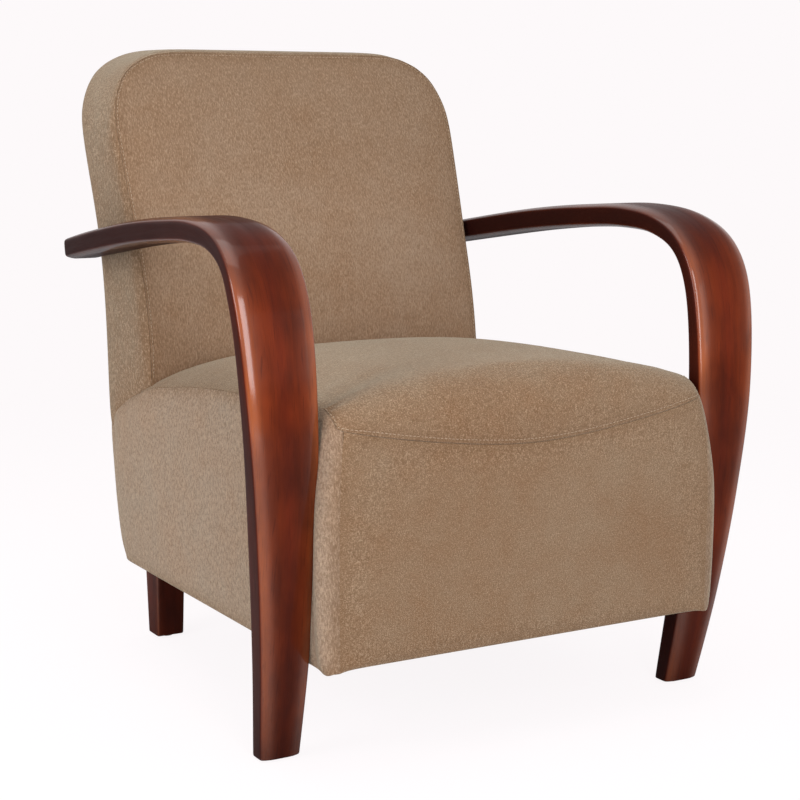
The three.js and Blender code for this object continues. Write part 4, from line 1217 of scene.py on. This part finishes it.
# %% [markdown]
# ## Materials
# Node groups hold the effects that several materials share: the pile of the velour, and the stain of
# the wood. Each is built once, with inputs for its colours and sizes, and gives colour and height.


# %% Material helpers
def new_group(name, inputs, outputs):
    """A node group whose inputs are given by kind, as lists of names."""
    group = bpy.data.node_groups.new(name, "ShaderNodeTree")
    for way, kinds in (("INPUT", inputs), ("OUTPUT", outputs)):
        for kind, names in kinds.items():
            for label in names.split():
                group.interface.new_socket(label, in_out=way, socket_type="NodeSocket" + kind)
    return group, group.nodes.new("NodeGroupInput").outputs, group.nodes.new("NodeGroupOutput").inputs


def stretch(tree, vector, scale):
    """A vector stretched along its axes."""
    return add_node(tree, "Mapping", Vector=vector, Scale=scale).outputs["Vector"]


def noise(tree, vector, scale, detail=2.0, roughness=0.5):
    """A noise texture's value. A scale of three numbers stretches it along its axes."""
    if isinstance(scale, tuple):
        vector, scale = stretch(tree, vector, scale), 1.0
    return add_node(tree, "TexNoise", Vector=vector, Scale=scale, Detail=detail, Roughness=roughness).outputs["Fac"]


def blend(tree, share, first, second):
    """A mix of two colours."""
    return add_node(tree, "Mix", data_type="RGBA", _0=share, _6=first, _7=second).outputs[2]


def times(tree, a, b):
    """Two values multiplied."""
    return maths(tree, "MULTIPLY", a, b)


def weigh(tree, first, second, share):
    """A share of the first value and the rest of the second, added up."""
    return maths(tree, "ADD", times(tree, first, share), times(tree, second, 1 - share))


def new_material(name, **principled):
    """A material with its Principled shader's own sockets set."""
    material = bpy.data.materials.new(name)
    material.use_nodes = True
    tree = material.node_tree
    shader = tree.nodes["Principled BSDF"]
    for label, value in principled.items():
        shader.inputs[label.replace("_", " ")].default_value = value
    return material, tree, shader


def surface(tree, shader, color, rough, height, strength, distance):
    """Feeds a colour, a roughness and a bump to the shader."""
    bump = add_node(tree, "Bump", Height=height, Strength=strength, Distance=distance)
    feed(tree, shader.inputs["Base Color"], color)
    feed(tree, shader.inputs["Roughness"], rough)
    feed(tree, shader.inputs["Normal"], bump.outputs["Normal"])


# %% [markdown]
# Velour has a short, dense pile. Close up it is a speckle of tufts in faint upright rows, and from
# further off it shows soft clouds where the pile lies one way or the other. At a grazing angle the tips
# of the pile catch the light, which is the shader's sheen.

# %% Velour
pile, given, gives = new_group("velour_pile", {"Color": "Base Shade Lift Tip Worn",
                                               "Float": "Clouds Specks Ribs Rim Fade"},
                               {"Color": "Color", "Float": "Roughness Height"})
place = add_node(pile, "TexCoord").outputs["Object"]
tufts = between(pile, noise(pile, place, (820, 300, 820), 2.0, 0.6), 0.3, 0.7)
threads = between(pile, noise(pile, place, (760, 300, 210), 2.0), 0.3, 0.7)
mixed = add_node(pile, "Mix", data_type="FLOAT", _0=given["Ribs"], _2=tufts, _3=threads).outputs[0]
fluff = between(pile, noise(pile, place, (420, 150, 420), 3.0, 0.6), 0.3, 0.7)
speckle = weigh(pile, mixed, fluff, 0.85)
clouds = between(pile, noise(pile, place, 6.0, 3.0, 0.55), 0.34, 0.66)
small_clouds = between(pile, noise(pile, place, 31.0, 4.0, 0.6), 0.3, 0.7)
lie = weigh(pile, clouds, small_clouds, 0.6)
clouded = blend(pile, times(pile, lie, given["Clouds"]), given["Base"], given["Lift"])
# Painted shade along the seams: where the rim attribute is high, the colour goes towards a darker brown.
seam_shade_share = times(pile, given["Rim"], between(pile, small_clouds, 0.1, 0.8, 0.15, 0.7))
clouded = blend(pile, seam_shade_share, clouded, given["Worn"])
# Painted shade: higher up, by the share given, the colour goes towards Shade, darkening the top of the inside back.
height = add_node(pile, "SeparateXYZ", Vector=place).outputs["Z"]
top_shade_share = times(pile, between(pile, height, 0.5, 0.79), given["Fade"])
clouded = blend(pile, top_shade_share, clouded, given["Shade"])
dark_share = times(pile, between(pile, speckle, 0.55, 0.2), given["Specks"])
light_share = times(pile, between(pile, speckle, 0.5, 0.85), given["Specks"])
speckled = blend(pile, light_share, blend(pile, dark_share, clouded, given["Shade"]), given["Tip"])
feed(pile, gives["Color"], speckled)
feed(pile, gives["Roughness"], between(pile, speckle, 0.3, 0.7, 0.98, 0.86))
feed(pile, gives["Height"], speckle)


def velour_material(name, specks, ribs, clouds, base, lift, fade=0.0):
    """A velour with its own colours: the pile of each cut piece lies its own way. fade paints shade over its top.
    """
    material, tree, shader = new_material(name, Specular_IOR_Level=0.1, Sheen_Weight=0.32,
                                          Sheen_Roughness=0.45, Sheen_Tint=(0.98, 0.96, 0.78, 1))
    rim = add_node(tree, "Attribute", attribute_name="rim").outputs["Fac"]
    node = add_node(tree, "Group", node_tree=pile, Base=(*base, 1), Lift=(*lift, 1), Shade=(0.14, 0.075, 0.036, 1),
                    Tip=(0.5, 0.35, 0.23, 1), Worn=(0.2, 0.105, 0.05, 1), Clouds=clouds, Specks=specks,
                    Ribs=ribs, Rim=rim, Fade=fade).outputs
    surface(tree, shader, node["Color"], node["Roughness"], node["Height"], 0.6, 0.0012)
    return material


velour = velour_material("velour", 0.6, 0.25, 0.9, (0.23, 0.12, 0.058), (0.275, 0.185, 0.115))
# The ribbed velour of the inside back gets painted shade over its top.
velour_ribbed = velour_material("velour_ribbed", 0.4, 0.75, 0.9, (0.295, 0.172, 0.097), (0.355, 0.241, 0.16), 0.42)
# The side panels' velour is paler and greyer: partly the pile's own lie, partly painted sheen and light from the
# left.
velour_side_painted_sheen = velour_material("velour_side_painted_sheen", 0.5, 0.6, 1.0, (0.3, 0.186, 0.118), (0.295, 0.218, 0.158))
velour_band = velour_material("velour_band", 0.5, 0.6, 1.0, (0.215, 0.116, 0.06), (0.24, 0.17, 0.11))

# %% [markdown]
# The arms are laminated wood under a reddish stain and a satin lacquer. The stain lies in long soft
# streaks and darker clouds. The rounded edges are more orange, partly as thinner stain and partly as a
# painted highlight, and the narrow sides are darker, as painted shade. Towards the foot, at the bend and
# at the tail the colour is painted nearly black, as shade. The lacquer is the shader's coat.

# %% Stained wood
stain, given, gives = new_group("stained_grain", {"Color": "Dark Middle Light", "Float": "Edge Depth",
                                                  "Vector": "Grain"},
                                {"Color": "Color", "Float": "Roughness Height Gloss"})
streaks = between(stain, noise(stain, given["Grain"], (130, 130, 9), 4.0, 0.6), 0.3, 0.7)
fine = noise(stain, given["Grain"], (900, 900, 26), 2.0, 0.6)
clouds = between(stain, noise(stain, given["Grain"], (27, 27, 11), 3.0, 0.5), 0.32, 0.68)
tone = weigh(stain, streaks, clouds, 0.25)
# shallow is what Depth leaves: on the arms it takes away the ramp's painted shade, on the beech a plain deeper
# tone.
shallow = maths(stain, "SUBTRACT", 1.0, given["Depth"])
# clear drops to a quarter on the narrow sides, where the stain is darkened as painted shade.
clear = times(stain, between(stain, given["Edge"], 0.0, -0.35, 1.0, 0.25), shallow)
bright = times(stain, between(stain, tone, 0.1, 0.85, 0.36, 1.0), clear)
body = blend(stain, bright, given["Dark"], given["Middle"])
# The rounded edges go towards Light: partly thinner stain, partly a painted highlight.
thin = times(stain, between(stain, given["Edge"], 0.0, 1.0), between(stain, clouds, 0.1, 0.9, 0.4, 0.85))
worn_and_highlit_body = blend(stain, times(stain, thin, shallow), body, given["Light"])
pores = between(stain, fine, 0.56, 0.72, 0.0, 0.35)
glossy = between(stain, given["Edge"], 0.1, 0.7, 0.1, 1.0)
feed(stain, gives["Color"], blend(stain, pores, worn_and_highlit_body, given["Dark"]))
feed(stain, gives["Roughness"], between(stain, streaks, 0.0, 1.0, 0.5, 0.36))
feed(stain, gives["Height"], fine)
feed(stain, gives["Gloss"], times(stain, glossy, between(stain, given["Depth"], 0.6, 0.9, 1.0, 0.3)))
mahogany, tree, shader = new_material("mahogany", Specular_IOR_Level=0.02, Coat_Roughness=0.13, Coat_IOR=1.5)
grain_socket = add_node(tree, "Attribute", attribute_name="grain").outputs["Vector"]
edge_socket = add_node(tree, "Attribute", attribute_name="edge").outputs["Fac"]
along = add_node(tree, "SeparateXYZ", Vector=grain_socket).outputs["Z"]
# This ramp paints shade along the arm: nearly black at the foot, the bend and the tail, lightest up the leg.
painted_shade_ramp = add_node(tree, "ValToRGB", Fac=maths(tree, "DIVIDE", along, arm_length * mm))
painted_shade_stops = [(0.0, 0.78), (0.1, 0.52), (0.18, 0.3), (0.28, 0.42), (0.36, 0.0), (0.44, 0.24), (0.5, 0.62),
         (0.57, 0.72), (0.7, 0.82), (1.0, 0.92)]
while len(painted_shade_ramp.color_ramp.elements) < len(painted_shade_stops):
    painted_shade_ramp.color_ramp.elements.new(0.5)
for element, (at, value) in zip(painted_shade_ramp.color_ramp.elements, painted_shade_stops):
    element.position = at
    element.color = (value, value, value, 1)
node = add_node(tree, "Group", node_tree=stain, Grain=grain_socket, Edge=edge_socket, Depth=painted_shade_ramp.outputs["Color"],
                Dark=(0.018, 0.0045, 0.0035, 1), Middle=(0.175, 0.022, 0.0055, 1),
                Light=(0.4, 0.095, 0.02, 1)).outputs
feed(tree, shader.inputs["Coat Weight"], node["Gloss"])
surface(tree, shader, node["Color"], node["Roughness"], node["Height"], 0.12, 0.0004)

# %% [markdown]
# The frame inside is plain beech. Its grain runs along each rail, so there is one beech for each
# direction, all from the same group as the stained wood but with pale colours.


# %% Beech and pressed board
def bare_wood(name, stretch_by, turn, *tones):
    """An unfinished wood whose grain runs along one axis, in a dark, a middle and a light tone."""
    material, tree, shader = new_material(name, Specular_IOR_Level=0.3)
    place = add_node(tree, "TexCoord").outputs["Object"]
    turned = add_node(tree, "Mapping", Vector=place, Rotation=turn, Scale=stretch_by).outputs["Vector"]
    dark, middle, light = ((*tone, 1) for tone in tones)
    node = add_node(tree, "Group", node_tree=stain, Grain=turned, Edge=0.25, Depth=0.1, Dark=dark,
                    Middle=middle, Light=light).outputs
    rough = between(tree, node["Height"], 0.3, 0.7, 0.85, 0.68)
    surface(tree, shader, node["Color"], rough, node["Height"], 0.25, 0.0006)
    return material


turns = {"x": (0, math.pi / 2, 0), "y": (math.pi / 2, 0, 0), "z": (0, 0, 0)}
beech = {axis: bare_wood("beech_" + axis, (1, 1, 1), turn, (0.36, 0.2, 0.085), (0.6, 0.4, 0.19), (0.7, 0.5, 0.27))
         for axis, turn in turns.items()}
board = bare_wood("pressed_board", (2.5, 2.5, 60), turns["z"], (0.09, 0.042, 0.018), (0.18, 0.09, 0.04),
                  (0.24, 0.13, 0.06))

# %% [markdown]
# The small parts have their own finishes: bright zinc with a faint crystal pattern, oiled spring wire,
# moulded plastic with scuffs, woven elastic, felt, thread and the black lining.


# %% Small finishes
def plain_finish(name, dark, light, scale, rough, bump, squeeze=(1, 1, 1), **settings):
    """A finish of two colours in a noise pattern, with its own roughness range and bump."""
    material, tree, shader = new_material(name, **settings)
    place = stretch(tree, add_node(tree, "TexCoord").outputs["Object"], squeeze)
    coarse = between(tree, noise(tree, place, scale, 3.0, 0.6), 0.3, 0.7)
    small = between(tree, noise(tree, place, scale * 7, 2.0, 0.6), 0.3, 0.7)
    value = weigh(tree, coarse, small, 0.55)
    colour = blend(tree, value, (*dark, 1), (*light, 1))
    surface(tree, shader, colour, between(tree, value, 0.2, 0.8, *rough), value, bump, 0.0005)
    return material


zinc = plain_finish("zinc_plate", (0.36, 0.37, 0.38), (0.6, 0.62, 0.64), 260.0, (0.42, 0.25), 0.08, Metallic=1.0)
wire = plain_finish("spring_wire", (0.07, 0.075, 0.085), (0.2, 0.21, 0.22), 180.0, (0.5, 0.3), 0.1, Metallic=1.0)
plastic = plain_finish("glide_plastic", (0.03, 0.024, 0.022), (0.07, 0.058, 0.052), 220.0, (0.6, 0.42), 0.15)
elastic = plain_finish("woven_elastic", (0.008, 0.008, 0.009), (0.06, 0.058, 0.062), 90.0, (0.95, 0.8), 0.9,
                       squeeze=(8, 2, 2), Specular_IOR_Level=0.2)
needled = plain_finish("needled_felt", (0.1, 0.09, 0.078), (0.27, 0.25, 0.22), 130.0, (1.0, 0.9), 0.9,
                       Sheen_Weight=0.2)
lining_cloth = plain_finish("black_lining", (0.006, 0.006, 0.0065), (0.018, 0.017, 0.017), 240.0, (0.95, 0.8),
                            0.6, Specular_IOR_Level=0.2)
thread = plain_finish("thread", (0.34, 0.23, 0.14), (0.62, 0.47, 0.33), 700.0, (0.8, 0.6), 0.3,
                      Specular_IOR_Level=0.3, Sheen_Weight=0.2)

# %% [markdown]
# Each new piece gets its material, and it rides on the chair's one body. The arms and the rear legs
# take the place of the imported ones.


# %% Dress the woodwork
def dress(piece, material):
    """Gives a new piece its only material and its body."""
    piece.data.materials.clear()
    piece.data.materials.append(material)
    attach(piece, "root")


for piece, node_name in ((arm, "arm_right"), (left_arm, "arm_left"),
                         (legs["left"], "rear_leg_left"), (legs["right"], "rear_leg_right")):
    dress(piece, mahogany)
    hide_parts(node_name)

# %% [markdown]
# The covers are padded panels. The outside back, the lining, the felt and the straps are sheets.

# %% Dress the rest
for name, panel in velour_panels.items():
    dress(panel, {"inside_back": velour_ribbed, "back_band": velour_band, "side_panel_left": velour_side_painted_sheen,
                  "side_panel_right": velour_side_painted_sheen}.get(name, velour))
dress(outside, velour_ribbed)
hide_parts("outside_back_cover")
dress(lining, lining_cloth)
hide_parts("dust_cover")
dress(felt, needled)
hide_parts("spring_felt")
for i, strap in enumerate(straps, 1):
    dress(strap, elastic)
    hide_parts("back_webbing_" + str(i))
dress(staples, zinc)
for piece in stitches:
    dress(piece, thread)

# %% [markdown]
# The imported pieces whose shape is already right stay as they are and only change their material.

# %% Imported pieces
kinds = {"arm_bolt": zinc, "leg_bolt": zinc, "glide": plastic, "seat_spring": wire, "front_board": board,
         "side_board": board, "front_post": beech["z"], "back_post": beech["z"], "side_rail": beech["y"],
         "front_rail": beech["x"], "rear_rail": beech["x"], "lumbar_rail": beech["x"], "back_top_rail": beech["x"]}
dressed = 0
for name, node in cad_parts.items():
    for kind, material in kinds.items():
        if name.startswith(kind):
            dressed += 1
            if not node.material_slots:
                node.data.materials.append(material)
            for place in node.material_slots:
                place.material = material
print("packed pieces with a new material:", dressed)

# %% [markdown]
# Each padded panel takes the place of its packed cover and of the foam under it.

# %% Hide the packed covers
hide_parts("seat_cover", "seat_foam")
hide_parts("front_cover", "front_pad")
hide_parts("side_cover_left", "side_pad_left")
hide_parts("side_cover_right", "side_pad_right")
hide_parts("inside_back_cover", "back_foam")
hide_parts("back_boxing")
